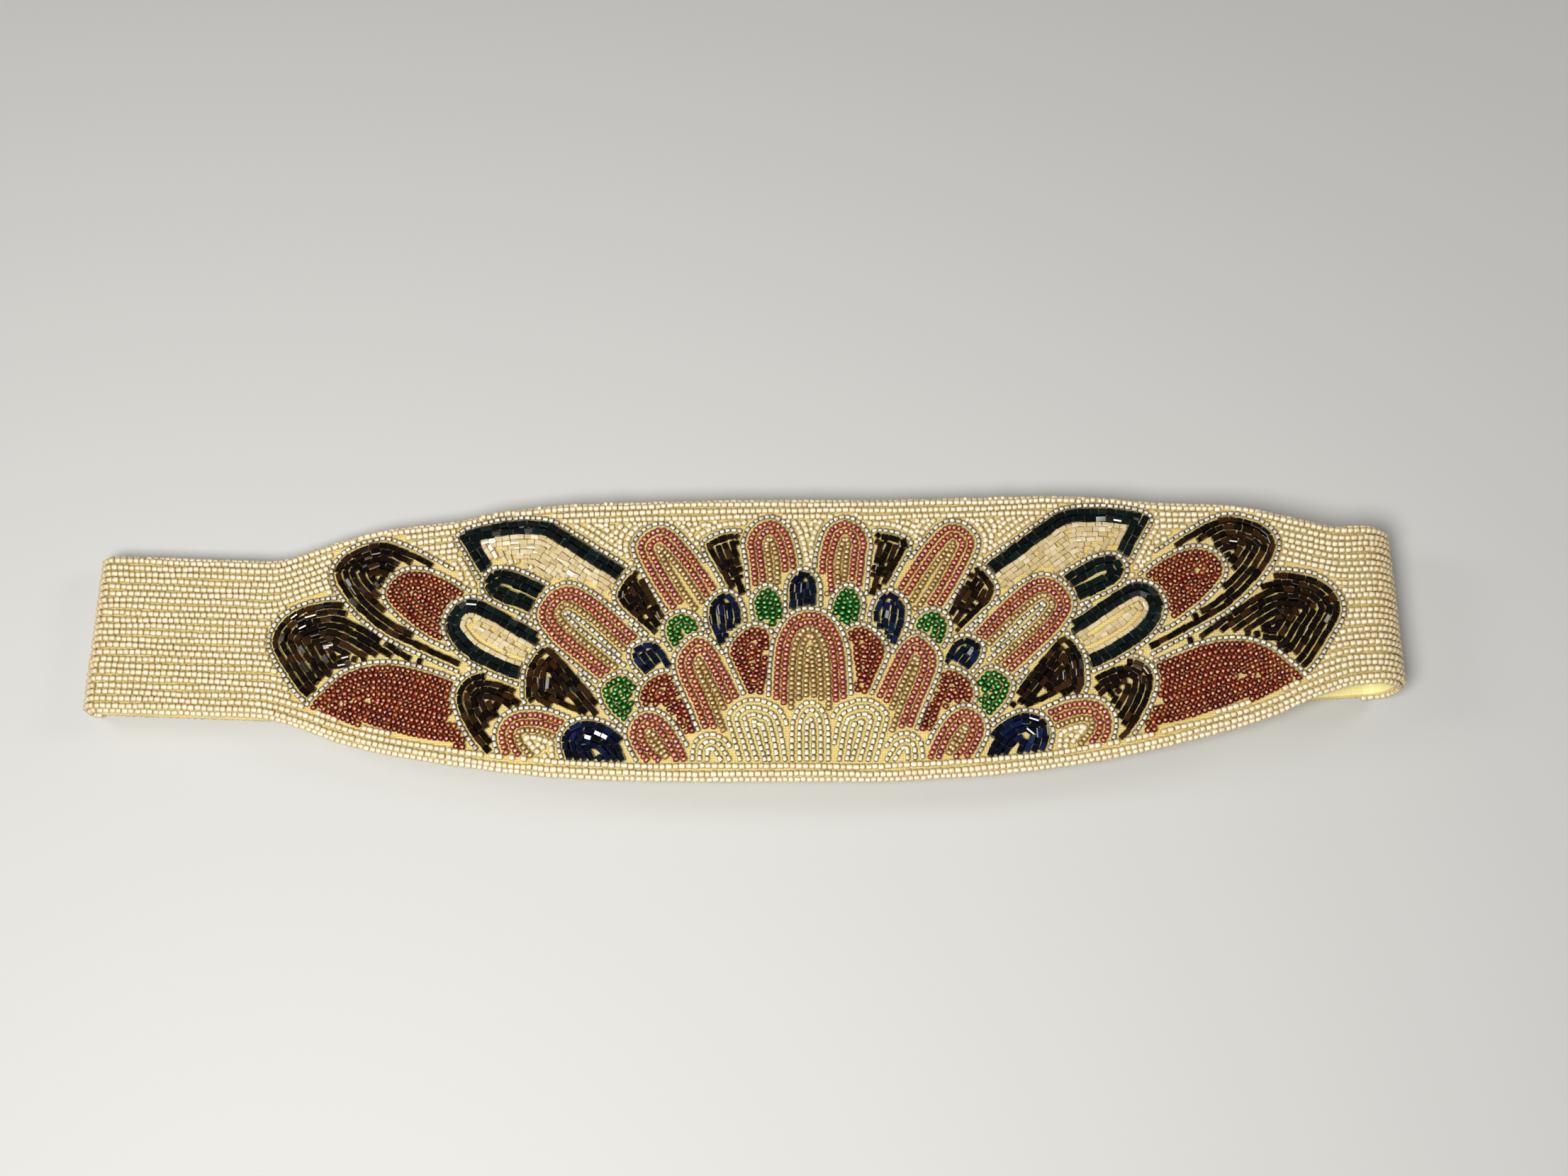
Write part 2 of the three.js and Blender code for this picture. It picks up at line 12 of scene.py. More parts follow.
import bpy
import numpy as np
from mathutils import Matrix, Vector


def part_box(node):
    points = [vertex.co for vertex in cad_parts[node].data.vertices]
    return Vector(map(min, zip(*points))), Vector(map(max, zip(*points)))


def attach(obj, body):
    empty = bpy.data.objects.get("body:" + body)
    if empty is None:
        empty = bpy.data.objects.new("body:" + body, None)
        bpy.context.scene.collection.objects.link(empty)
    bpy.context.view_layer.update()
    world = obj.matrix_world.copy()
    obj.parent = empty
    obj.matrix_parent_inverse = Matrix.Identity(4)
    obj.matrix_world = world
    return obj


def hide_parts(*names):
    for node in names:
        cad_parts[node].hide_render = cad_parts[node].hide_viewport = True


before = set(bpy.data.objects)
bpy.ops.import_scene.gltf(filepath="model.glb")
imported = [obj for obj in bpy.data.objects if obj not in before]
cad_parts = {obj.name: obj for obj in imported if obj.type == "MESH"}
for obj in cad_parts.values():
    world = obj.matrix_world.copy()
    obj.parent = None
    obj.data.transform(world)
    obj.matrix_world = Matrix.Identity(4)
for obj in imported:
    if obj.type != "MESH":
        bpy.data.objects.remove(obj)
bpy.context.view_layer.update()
rng = np.random.default_rng(11)
MM = 0.001

# The flattened loop, as in the solids
BACK_Z = 4.5
FOLD_GAP, WAIST_GAP, BULB_GAP = 1.6, 5.5, 12.5
LEFT_REACH, RIGHT_REACH, BULB_RUN = 197.0, 154.2, 103.0
SWAY = 8.5
LAP, LAP_AT, RAMP, TAB_Z = 24.0, -45.0, 12.5, 8.2

# Layers: the lining, the cloth and the surface that the beads are sewn to
LINING_OUT = (0.05, 0.95)
CLOTH_OUT = (1.25, 2.45)
EDGE_INSET = 0.8
LINING_INSET = 1.1

# The worked design
LEFT_WING, RIGHT_WING, DESIGN_RISE, BAND_HALF = 100.0, 98.0, 40.0, 23.0
MIDDLE_REACH = 99.0  # how far the middle of the ground reaches to each side
MIRROR_LINE = -0.4
OUTLINE_AT = 1.1  # from an arch to the middle of the row that outlines it
OUTLINE_EDGE = 2.0  # from an arch to where the row behind its outline may begin
FAN_EDGE = 0.5

# The front's edges in shares: reach, top, inner edge of the lower border, bottom
EDGE = [
    (0.0, 1.055, -0.883, -1.005), (0.25, 1.05, -0.883, -1.007), (0.5, 1.033, -0.883, -1.002),
    (0.7, 1.015, -0.865, -0.978), (0.85, 0.97, -0.832, -0.943), (1.0, 0.89, -0.765, -0.893),
    (1.1, 0.855, -0.715, -0.855), (1.2, 0.823, -0.655, -0.808), (1.3, 0.763, -0.595, -0.743),
    (1.4, 0.67, -0.49, -0.645),
]
BAND_FROM, BAND_HEM = 1.5, -0.42

SETTLE = [(-1.0, 0.0), (-0.7, 0.1), (-0.5, 0.5), (-0.3, 1.0)]
CLIMB = [
    (0.0, 0.0), (0.15, 0.04), (0.29, 0.14), (0.44, 0.31), (0.58, 0.51),
    (0.7, 0.69), (0.8, 0.83), (0.9, 0.95), (1.0, 1.0),
]
LEAN = [
    (-1.0, 0.4), (-0.75, 0.18), (-0.6, 0.14), (-0.3, 0.0), (0.13, 0.0),
    (0.33, 0.19), (0.55, 0.45), (0.72, 0.68), (0.86, 0.82), (1.0, 1.0),
]

# Petals from the front of the design to its back, in shares of reach and rise
FAN_CENTER = [
    (-0.058, -0.95), (-0.058, -0.62), (-0.035, -0.48), (0, -0.435),
    (0.035, -0.48), (0.058, -0.62), (0.058, -0.95),
]
FAN_LARGE = [
    (-0.19, -0.95), (-0.22, -0.7), (-0.232, -0.54), (-0.185, -0.425),
    (-0.12, -0.43), (-0.062, -0.55), (-0.03, -0.95),
]
FAN_SMALL = [
    (-0.33, -0.95), (-0.325, -0.75), (-0.285, -0.663), (-0.235, -0.688),
    (-0.2, -0.8), (-0.17, -0.95),
]
CENTER_PETALS = [
    ("arch_center", "rose rose gold", [
        (-0.103, -0.58), (-0.1, -0.25), (-0.09, -0.02), (-0.055, 0.145), (0, 0.198),
        (0.055, 0.145), (0.09, -0.02), (0.1, -0.25), (0.103, -0.58)]),
    ("bud_navy_center", "navy", [
        (-0.056, 0.1), (-0.056, 0.37), (-0.04, 0.465), (-0.017, 0.495),
        (0.008, 0.465), (0.02, 0.37), (0.02, 0.1)]),
]
PAIRED_PETALS = [
    ("garnet_inner", "garnet", [
        (-0.163, -0.43), (-0.2, -0.225), (-0.22, -0.088), (-0.195, 0.025),
        (-0.155, 0.085), (-0.117, 0.045), (-0.112, -0.1), (-0.13, -0.43)]),
    ("rose_inner", "rose rose gold", [
        (-0.275, -0.78), (-0.318, -0.5), (-0.36, -0.26), (-0.363, -0.125), (-0.315, 0.008),
        (-0.27, -0.05), (-0.235, -0.2), (-0.2, -0.375), (-0.17, -0.55)]),
    ("rose_low", "rose rose gold", [
        (-0.42, -0.95), (-0.465, -0.84), (-0.493, -0.69), (-0.475, -0.57),
        (-0.435, -0.533), (-0.39, -0.6), (-0.35, -0.75), (-0.32, -0.93)]),
    ("garnet_low", "garnet", [
        (-0.35, -0.7), (-0.45, -0.5), (-0.463, -0.388), (-0.435, -0.288),
        (-0.39, -0.258), (-0.36, -0.35), (-0.31, -0.675)]),
    ("bud_green_top", "green", [
        (-0.135, 0.06), (-0.15, 0.2), (-0.15, 0.3), (-0.12, 0.375),
        (-0.088, 0.313), (-0.073, 0.175), (-0.08, 0.05)]),
    ("bud_navy_top", "navy", [
        (-0.25, -0.05), (-0.275, 0.1), (-0.278, 0.238), (-0.245, 0.33),
        (-0.21, 0.3), (-0.19, 0.163), (-0.2, 0.02)]),
    ("bud_green_mid", "green", [
        (-0.375, -0.08), (-0.397, 0.038), (-0.39, 0.138), (-0.355, 0.18),
        (-0.318, 0.13), (-0.3, 0)]),
    ("bud_navy_mid", "navy", [
        (-0.44, -0.3), (-0.483, -0.175), (-0.488, -0.08), (-0.455, -0.03),
        (-0.42, -0.05), (-0.38, -0.2)]),
    ("bud_green_low", "green", [
        (-0.5, -0.62), (-0.55, -0.5), (-0.57, -0.375), (-0.545, -0.293),
        (-0.505, -0.275), (-0.455, -0.42)]),
    ("rose_crown", "rose rose gold", [
        (-0.158, 0.3), (-0.17, 0.6), (-0.176, 0.71), (-0.16, 0.82), (-0.12, 0.885),
        (-0.085, 0.865), (-0.055, 0.775), (-0.035, 0.55), (-0.04, 0.3)]),
    ("brown_crown", "brown", [
        (-0.2, 0.25), (-0.245, 0.463), (-0.29, 0.675), (-0.275, 0.738),
        (-0.22, 0.783), (-0.19, 0.75), (-0.176, 0.55), (-0.155, 0.275)]),
    ("rose_upper", "rose rose gold silver", [
        (-0.35, 0.075), (-0.405, 0.275), (-0.463, 0.525), (-0.487, 0.688), (-0.453, 0.808),
        (-0.403, 0.825), (-0.345, 0.688), (-0.29, 0.5), (-0.24, 0.3)]),
    ("brown_upper", "brown", [
        (-0.41, -0.025), (-0.47, 0.113), (-0.535, 0.288), (-0.515, 0.438),
        (-0.478, 0.49), (-0.44, 0.338), (-0.39, 0.1)]),
    ("rose_side", "rose rose gold silver", [
        (-0.54, -0.375), (-0.63, -0.188), (-0.72, 0.013), (-0.756, 0.175),
        (-0.725, 0.333), (-0.665, 0.385), (-0.585, 0.27), (-0.47, 0)]),
    ("navy_low", "navy", [
        (-0.635, -0.98), (-0.672, -0.775), (-0.66, -0.65), (-0.61, -0.593),
        (-0.55, -0.638), (-0.505, -0.738), (-0.465, -0.93)]),
    ("rose_outer", "rose rose gold ground", [
        (-0.79, -0.95), (-0.838, -0.813), (-0.85, -0.675), (-0.825, -0.563),
        (-0.77, -0.525), (-0.705, -0.55), (-0.64, -0.65), (-0.62, -0.95)]),
    ("brown_side", "brown", [
        (-0.62, -0.65), (-0.76, -0.488), (-0.78, -0.3), (-0.765, -0.15),
        (-0.725, -0.063), (-0.67, -0.188), (-0.61, -0.363), (-0.54, -0.575)]),
    ("teal_small", "teal teal pearl", [
        (-0.74, 0.15), (-0.82, 0.23), (-0.885, 0.3), (-0.91, 0.395),
        (-0.888, 0.495), (-0.835, 0.495), (-0.765, 0.42), (-0.7, 0.325)]),
    ("teal_oval", "teal teal pearl", [
        (-0.74, -0.35), (-0.86, -0.25), (-0.96, -0.108), (-1.01, 0.063), (-0.995, 0.22),
        (-0.945, 0.283), (-0.88, 0.225), (-0.785, 0.088), (-0.7, -0.025)]),
    ("teal_wing", "teal teal pearl", [
        (-0.86, 0.1), (-0.915, 0.43), (-0.965, 0.65), (-0.988, 0.76), (-0.94, 0.825),
        (-0.845, 0.873), (-0.745, 0.868), (-0.675, 0.775), (-0.6, 0.65), (-0.5, 0.463),
        (-0.46, 0.15)]),
    ("brown_outer", "brown", [
        (-0.83, -0.93), (-0.905, -0.763), (-0.958, -0.55), (-0.97, -0.388),
        (-0.935, -0.28), (-0.875, -0.258), (-0.8, -0.325), (-0.73, -0.475)]),
    ("garnet_leaf", "garnet", [
        (-0.98, -0.075), (-1.06, 0.02), (-1.145, 0.175), (-1.188, 0.325),
        (-1.16, 0.458), (-1.1, 0.495), (-1.03, 0.438), (-0.955, 0.32)]),
    ("garnet_wing", "garnet", [
        (-0.94, -0.85), (-1.1, -0.8), (-1.28, -0.66), (-1.375, -0.525), (-1.34, -0.388),
        (-1.275, -0.25), (-1.185, -0.2), (-1.08, -0.238), (-0.92, -0.375)]),
    ("feather_upper", "brown", [
        (-0.965, -0.22), (-1.07, -0.105), (-1.19, 0.043), (-1.29, 0.258), (-1.34, 0.475),
        (-1.305, 0.633), (-1.21, 0.715), (-1.115, 0.633), (-1.005, 0.483)]),
    ("feather_lower", "brown", [
        (-1.08, -0.3), (-1.28, -0.475), (-1.383, -0.45), (-1.46, -0.225), (-1.5, -0.038),
        (-1.473, 0.138), (-1.395, 0.245), (-1.28, 0.238), (-1.065, -0.075)]),
]

# A kind of bead: radius, length, room it takes along its row, room between rows, cross-section and
# profile as (place along the hole, radius) in shares
Kind = namedtuple("Kind", "radius length spacing pitch section profile")
OCTAGON = [(math.cos(math.pi * k / 4), math.sin(math.pi * k / 4)) for k in range(8)]
HEXAGON = [(math.cos(math.pi * k / 3), math.sin(math.pi * k / 3)) for k in range(6)]
BRICK = [(0.66, -0.94), (0.94, -0.62), (0.94, 0.62), (0.66, 0.94),
         (-0.66, 0.94), (-0.94, 0.62), (-0.94, -0.62), (-0.66, -0.94)]
ROUND = [(-1, 0.5), (-0.62, 0.93), (0, 1), (0.62, 0.93), (1, 0.5)]
BARREL = [(-1, 0.64), (-0.66, 1), (0.66, 1), (1, 0.64)]
TUBE = [(-1, 0.86), (-0.93, 1), (0.93, 1), (1, 0.86)]
SHORT = [(-1, 0.6), (0, 1), (1, 0.6)]
KINDS = {
    "ground": Kind(0.82, 1.66, 1.72, 1.93, OCTAGON, BARREL),
    "back": Kind(0.84, 1.68, 1.75, 1.93, HEXAGON, SHORT),
    "silver": Kind(0.7, 1.6, 1.72, 2.15, OCTAGON, BARREL),
    "rose": Kind(0.96, 1.36, 1.42, 2.2, OCTAGON, ROUND),
    "gold": Kind(0.93, 1.36, 1.42, 2.15, OCTAGON, ROUND),
    "garnet": Kind(0.97, 1.42, 1.5, 2.0, OCTAGON, ROUND),
    "green": Kind(1.03, 1.5, 1.58, 1.96, OCTAGON, ROUND),
    "navy": Kind(0.88, 2.5, 2.62, 1.92, BRICK, TUBE),
    "brown": Kind(0.83, 2.5, 2.62, 1.92, BRICK, TUBE),
    "teal": Kind(0.98, 2.7, 2.78, 2.02, BRICK, TUBE),
    "pearl": Kind(0.74, 1.9, 1.95, 1.52, BRICK, TUBE),
}
BUGLES = ("navy", "brown", "teal", "pearl")
SHORTEST = 1.0  # the shortest piece of a bugle
SEED_UNEVEN, BUGLE_UNEVEN = 0.14, 0.3  # how much lengths vary, in shares

# The least distance from a bead to those already laid
OUTLINE_CLEAR, RING_CLEAR, BUGLE_CLEAR, SEED_CLEAR, BAND_CLEAR = 1.2, 1.4, 1.45, 1.5, 1.4

# How far beads stray from their rows and turn, in millimetres and radians
STRAY_ALONG, STRAY_ACROSS, STRAY_OUT, STRAY_TURN = 0.04, 0.05, 0.04, 0.05
SEED_TIP, BUGLE_TIP, BUGLE_SPIN = 0.03, 0.08, 0.2
SIZE_SPREAD, SIZE_LIMITS = 0.035, (0.9, 1.1)


# ---------------------------------------------------------------- the loop's path
PATH_STEP, PATH_SOFT, EDGE_SOFT = 1.0, 8, 5


def soften(values, reach):
    """The values again with their corners rounded over so many neighbours on each side."""
    window = np.hanning(2 * reach + 3)[1:-1]
    padded = np.pad(values, reach, mode="edge")
    return np.convolve(padded, window / window.sum(), mode="valid")


def lean_at(x):
    return SWAY * np.interp(np.where(x < 0, x / LEFT_REACH, x / RIGHT_REACH), *zip(*LEAN))


def half_turn(cx, radius, start, end, steps):
    angles = np.radians(np.linspace(start, end, steps))
    return np.stack([cx + radius * np.cos(angles), BACK_Z + radius + radius * np.sin(angles)], 1)


def straight(points, step):
    """Points along a line of straight pieces, about a step apart."""
    made = []
    for a, b in zip(points[:-1], points[1:]):
        count = max(2, int(math.dist(a, b) / step))
        made.append(np.linspace(a, b, count, endpoint=False))
    return np.concatenate([*made, [points[-1]]])


def loop_path():
    """place, x, z, out_x, out_z and lean along the whole strip, from the tab to the lap."""
    x = np.arange(-LEFT_REACH, RIGHT_REACH + PATH_STEP / 2, PATH_STEP)
    settle = np.interp(x / LEFT_REACH, *zip(*SETTLE))
    climb = np.interp((x - RIGHT_REACH + BULB_RUN) / BULB_RUN, *zip(*CLIMB))
    z = BACK_Z + FOLD_GAP + (WAIST_GAP - FOLD_GAP) * settle + (BULB_GAP - WAIST_GAP) * climb
    front = np.stack([x, soften(z, PATH_SOFT)], 1)
    left = np.concatenate([
        straight([(LAP_AT + LAP, TAB_Z), (LAP_AT - 1, TAB_Z), (LAP_AT - 1 - RAMP, BACK_Z),
                  (-LEFT_REACH, BACK_Z)], PATH_STEP)[:-1],
        half_turn(-LEFT_REACH, FOLD_GAP / 2, 270, 90, 25)[:-1],
    ])
    right = np.concatenate([
        half_turn(RIGHT_REACH, BULB_GAP / 2, 90, -90, 41)[1:],
        straight([(RIGHT_REACH, BACK_Z), (LAP_AT, BACK_Z)], PATH_STEP)[1:],
    ])
    points = np.concatenate([left, front, right])
    lengths = np.linalg.norm(np.diff(points, axis=0), axis=1)
    place = np.concatenate([[0], np.cumsum(lengths)])
    first, last = len(left), len(left) + len(front) - 1
    place[:first] += -LEFT_REACH - place[first]
    place[last + 1:] += RIGHT_REACH - place[last]
    place[first:last + 1] = front[:, 0]
    tangent = np.gradient(points, axis=0)
    tangent /= np.linalg.norm(tangent, axis=1)[:, None]
    lean = soften(lean_at(points[:, 0]), PATH_SOFT)
    return place, points[:, 0], points[:, 1], -tangent[:, 1], tangent[:, 0], lean


PLACE, PATH_X, PATH_Z, OUT_X, OUT_Z, PATH_LEAN = loop_path()
LEFT_TURN, RIGHT_TURN = math.pi * FOLD_GAP / 2, math.pi * BULB_GAP / 2
LEFT_FOLD_END = -LEFT_REACH - LEFT_TURN
RIGHT_FOLD_END = RIGHT_REACH + RIGHT_TURN
RAMP_FOOT = LEFT_FOLD_END - (LEFT_REACH + LAP_AT - 1 - RAMP)

# The design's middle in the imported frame, from the fastening strip that lies on the lap
tape_low, tape_high = (np.array(corner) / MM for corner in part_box("closure_tape"))
SHIFT = (tape_low + tape_high) / 2 - [LAP_AT + LAP / 2, float(lean_at(np.array(LAP_AT))), 0]


def on_loop(place, y, out):
    """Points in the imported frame, in millimetres."""
    x, z, out_x, out_z, lean = (np.interp(place, PLACE, values)
                                for values in (PATH_X, PATH_Z, OUT_X, OUT_Z, PATH_LEAN))
    return np.stack([x + out_x * out + SHIFT[0], y + lean + SHIFT[1], z + out_z * out], -1)


def edge_line(column, beyond):
    """(places, heights) of one edge of the strip over its whole length."""
    rise = [row[column] * DESIGN_RISE for row in EDGE]
    left = [-row[0] * LEFT_WING for row in EDGE[:0:-1]]
    right = [row[0] * RIGHT_WING + (2 * MIRROR_LINE if row[0] else 0) for row in EDGE]
    places = [PLACE[0], -BAND_FROM * LEFT_WING, *left, *right, BAND_FROM * RIGHT_WING, PLACE[-1]]
    heights = [beyond, beyond, *rise[:0:-1], *rise, beyond, beyond]
    fine = np.arange(PLACE[0], PLACE[-1], PATH_STEP)
    return fine, soften(np.interp(fine, places, heights), EDGE_SOFT)


TOP_LINE = edge_line(1, BAND_HALF)
HEM_LINE = edge_line(2, BAND_HEM * DESIGN_RISE)
BOTTOM_LINE = edge_line(3, -BAND_HALF)


def height(line, place):
    return np.interp(place, *line)


# ---------------------------------------------------------------- arches
def spline(points, steps=14):
    """The same open curve through the points as in the solids."""
    p = np.array([2 * np.array(points[0]) - points[1], *points,
                  2 * np.array(points[-1]) - points[-2]])
    p[0], p[-1] = points[0], points[-1]
    t = np.linspace(0, 1, steps, endpoint=False)[:, None]
    made = []
    for i in range(1, len(p) - 2):
        a, b, c, d = p[i - 1:i + 3]
        v, w = (c - a) / 2, (d - b) / 2
        made.append((2 * b - 2 * c + v + w) * t**3 + (-3 * b + 3 * c - 2 * v - w) * t**2 + v * t + b)
    return np.concatenate([*made, [p[-2]]])


def arch_line(arch, mirrored):
    """An arch on the strip, clockwise from foot to foot."""
    points = np.array([
        (2 * MIRROR_LINE - reach * RIGHT_WING if mirrored else reach * LEFT_WING,
         rise * DESIGN_RISE) for reach, rise in arch
    ])
    line = spline(points)
    x, y = line.T
    turned = np.sum(x * np.roll(y, -1) - np.roll(x, -1) * y) > 0
    return line[::-1] if turned else line


def even(line, step):
    """The line again with points a step apart."""
    along = np.concatenate([[0], np.cumsum(np.linalg.norm(np.diff(line, axis=0), axis=1))])
    at = np.linspace(0, along[-1], max(2, int(along[-1] / step)))
    return np.stack([np.interp(at, along, line[:, 0]), np.interp(at, along, line[:, 1])], 1)


CHUNK = 4000  # points worked on together, to keep memory small


def to_line(points, line):
    """How far each point is from a line of straight pieces."""
    a, b = line[:-1], line[1:]
    d = b - a
    length = np.maximum((d**2).sum(1), 1e-9)
    away = np.full(len(points), np.inf)
    for i in range(0, len(points), CHUNK):
        p = points[i:i + CHUNK, None]
        t = np.clip(((p - a) * d).sum(2) / length, 0, 1)
        away[i:i + CHUNK] = np.sqrt(((p - a - t[..., None] * d)**2).sum(2).min(1))
    return away


def signed_distance(points, line):
    """How far each point is outside a closed outline, negative inside it."""
    closed = np.concatenate([line, line[:1]])
    a, b = closed[:-1], closed[1:]
    rise = np.where(b[:, 1] == a[:, 1], 1e-9, b[:, 1] - a[:, 1])
    inside = np.zeros(len(points), bool)
    for i in range(0, len(points), CHUNK):
        p = points[i:i + CHUNK]
        crossed = (a[:, 1] > p[:, None, 1]) != (b[:, 1] > p[:, None, 1])
        x = a[:, 0] + (p[:, None, 1] - a[:, 1]) / rise * (b[:, 0] - a[:, 0])
        inside[i:i + CHUNK] = (crossed & (p[:, None, 0] < x)).sum(1) % 2 == 1
    away = to_line(points, closed)
    return np.where(inside, -away, away)


FIELD_STEP, FIELD_MARGIN, FAR = 0.6, 21.0, 40.0
Field = namedtuple("Field", "low values")


def distance_field(line):
    """The signed distance on a grid round an outline, for reading many points quickly."""
    low, high = line.min(0) - FIELD_MARGIN, line.max(0) + FIELD_MARGIN
    x, y = (np.arange(low[k], high[k], FIELD_STEP) for k in (0, 1))
    grid = np.stack(np.meshgrid(x, y, indexing="ij"), -1)
    return Field(low, signed_distance(grid.reshape(-1, 2), line).reshape(grid.shape[:2]))


def clear_of(points, petal):
    """How far each point is outside a petal, negative inside it. Those off its grid read FAR."""
    low, values = petal.field
    at = (points - low) / FIELD_STEP
    near = np.all((at > 0) & (at < np.array(values.shape) - 1.001), axis=1)
    result = np.full(len(points), FAR)
    cell = at[near].astype(int)
    (i, j), (u, v) = cell.T, (at[near] - cell).T
    result[near] = ((values[i, j] * (1 - u) + values[i + 1, j] * u) * (1 - v)
                    + (values[i, j + 1] * (1 - u) + values[i + 1, j + 1] * u) * v)
    return result


Petal = namedtuple("Petal", "node rows line field")


def petal_from(node, rows, arch, mirrored):
    line = arch_line(arch, mirrored)
    return Petal(node, rows.split(), line, distance_field(line))


petals = []
for arch in (FAN_CENTER, FAN_LARGE, FAN_SMALL):
    for mirrored in (False, True):
        if not (mirrored and arch is FAN_CENTER):
            petals.append(petal_from("cream_fan", "fan", arch, mirrored))
for node, rows, arch in CENTER_PETALS:
    petals.append(petal_from(node, rows, arch, False))
for node, rows, arch in PAIRED_PETALS:
    for mirrored, side in ((False, "left"), (True, "right")):
        petals.append(petal_from(f"{node}_{side}", rows, arch, mirrored))


# ---------------------------------------------------------------- laying rows of beads
Row = namedtuple("Row", "kind finish place y along out length scale")


CELL = 2.0  # beads are looked up in cubes of this size


class Layout:
    """Every bead so far. A new row leaves out the beads that would lie in those of other rows."""

    def __init__(self):
        self.cells = {}
        self.pieces = {}

    def _cell(self, point):
        return tuple(int(value) for value in np.floor(point / CELL))

    def free(self, points, least):
        for point in points:
            cx, cy, cz = self._cell(point)
            for dx in (-1, 0, 1):
                for dy in (-1, 0, 1):
                    for dz in (-1, 0, 1):
                        for other in self.cells.get((cx + dx, cy + dy, cz + dz), ()):
                            if math.dist(point, other) < least:
                                return False
        return True

    def lay(self, piece, kind, finish, beads, out, least, scale=1.0):
        """Lays one row. beads are (place, y, the row's direction there, length), and one that
        doesn't fit is left out, or put in as two short ones if it is a bugle."""
        queue, kept, taken = list(beads), [], []
        while queue:
            place, y, (dx, dy), length = bead = queue.pop(0)
            reach = length / 2 - KINDS[kind].radius * 0.6 if kind in BUGLES else 0
            steps = np.array([-1, 0, 1] if reach > 0.1 else [0]) * reach
            spots = on_loop(place + steps * dx, y + steps * dy, out)
            if self.free(spots, least):
                kept.append(bead)
                taken.extend(spots)
            elif kind in BUGLES and length > 2 * SHORTEST:
                queue[:0] = [(place + s * length / 4 * dx, y + s * length / 4 * dy, (dx, dy),
                              length / 2 - 0.03) for s in (-1, 1)]
        for spot in taken:
            self.cells.setdefault(self._cell(spot), []).append(tuple(spot))
        if kept:
            place, y, along, length = zip(*kept)
            self.pieces.setdefault(piece, []).append(
                Row(kind, finish, np.array(place), np.array(y), np.array(along),
                    np.full(len(kept), out), np.array(length), scale))


layout = Layout()


def kind_of(finish):
    """The kind of bead that a finish is on: the fan has the size of the outlines' beads."""
    return KINDS["silver" if finish == "fan" else finish]


def runs(mask, line):
    """(start, stop) of each stretch of a line where the mask holds and no point is far off."""
    jump = np.linalg.norm(np.diff(line, axis=0), axis=1) > 1.5
    start = None
    for i, good in enumerate(mask):
        if start is not None and (not good or jump[i - 1]):
            yield start, i
            start = None
        if good and start is None:
            start = i
    if start is not None:
        yield start, len(mask)


def string(piece, kind, finish, line, mask, least, out=None):
    """Strings beads along the stretches of a line on the strip where the mask holds."""
    bead = kind_of(kind)
    out = CLOTH_OUT[1] + bead.radius if out is None else out
    uneven = BUGLE_UNEVEN if kind in BUGLES else SEED_UNEVEN
    for start, stop in runs(mask, line):
        stretch = line[start:stop]
        if len(stretch) < 3:
            continue
        points = on_loop(stretch[:, 0], stretch[:, 1], out)
        far = np.concatenate([[0], np.cumsum(np.linalg.norm(np.diff(points, axis=0), axis=1))])
        if far[-1] < (SHORTEST if kind in BUGLES else 0.62 * bead.spacing):
            continue
        count = max(1, round(far[-1] / bead.spacing))
        shares = rng.uniform(1 - uneven, 1 + uneven, count)
        ends = np.concatenate([[0], np.cumsum(shares)]) * far[-1] / shares.sum()
        at = (ends[1:] + ends[:-1]) / 2
        lengths = np.minimum(np.diff(ends), 1.3 * bead.spacing) - (bead.spacing - bead.length)
        place, y = (np.interp(at, far, stretch[:, k]) for k in (0, 1))
        along = np.stack([np.interp(at + 0.4, far, stretch[:, k])
                          - np.interp(at - 0.4, far, stretch[:, k]) for k in (0, 1)], 1)
        along /= np.maximum(np.linalg.norm(along, axis=1), 1e-9)[:, None]
        layout.lay(piece, kind, finish, list(zip(place, y, map(tuple, along), lengths)), out,
                   least)


ARCH_STEP, COLUMN_STEP, SPREAD_STEP = 0.15, 0.2, 0.4  # of the points that beads are laid by


def beside(line, distance):
    """A clockwise arch moved outward by a distance, or inward if it is negative, less its loops."""
    fine = even(line, ARCH_STEP)
    tangent = np.gradient(fine, axis=0)
    tangent /= np.maximum(np.linalg.norm(tangent, axis=1), 1e-9)[:, None]
    moved = fine + distance * np.stack([-tangent[:, 1], tangent[:, 0]], 1)
    return moved[to_line(moved, even(line, 0.5)) > abs(distance) - 0.05]


def in_front(points, index, fan_edge=FAN_EDGE, edge=OUTLINE_EDGE):
    """True where no petal before this one, nor its outline, covers the point."""
    free = np.full(len(points), True)
    for petal in petals[:index]:
        gap = fan_edge if petal.node == "cream_fan" else edge
        free &= clear_of(points, petal) > gap
    return free


def above_hem(points, gap=0.2):
    return points[:, 1] > height(HEM_LINE, points[:, 0]) + gap


def lay_outlines():
    """The silver-lined row round every petal but the fan's lobes, which have their own."""
    for index, petal in enumerate(petals):
        if petal.node != "cream_fan":
            line = beside(petal.line, OUTLINE_AT)
            mask = in_front(line, index) & above_hem(line)
            string("outline_row", "silver", "silver", line, mask, OUTLINE_CLEAR)


OPEN = ("fan", "silver")  # rows that keep the cloth in sight between them
IN_COLUMNS = ("bud_navy", "brown_crown", "brown_upper")
CLOSE_SET = ("bud_green", "garnet_inner", "garnet_low")
COLUMN_FILLS, CLOSE_FILLS, LOOSE_FILLS = (1.0, 0.84, 0.7), (1.0, 0.86, 0.76), (1.0,)
FULL_FIT, SMALL_FIT = 0.93, 0.83  # how close single beads may come to others, in shares
PITCH_LIMITS = 0.93, 1.06  # how far rows may draw together or apart to fill a petal, in shares


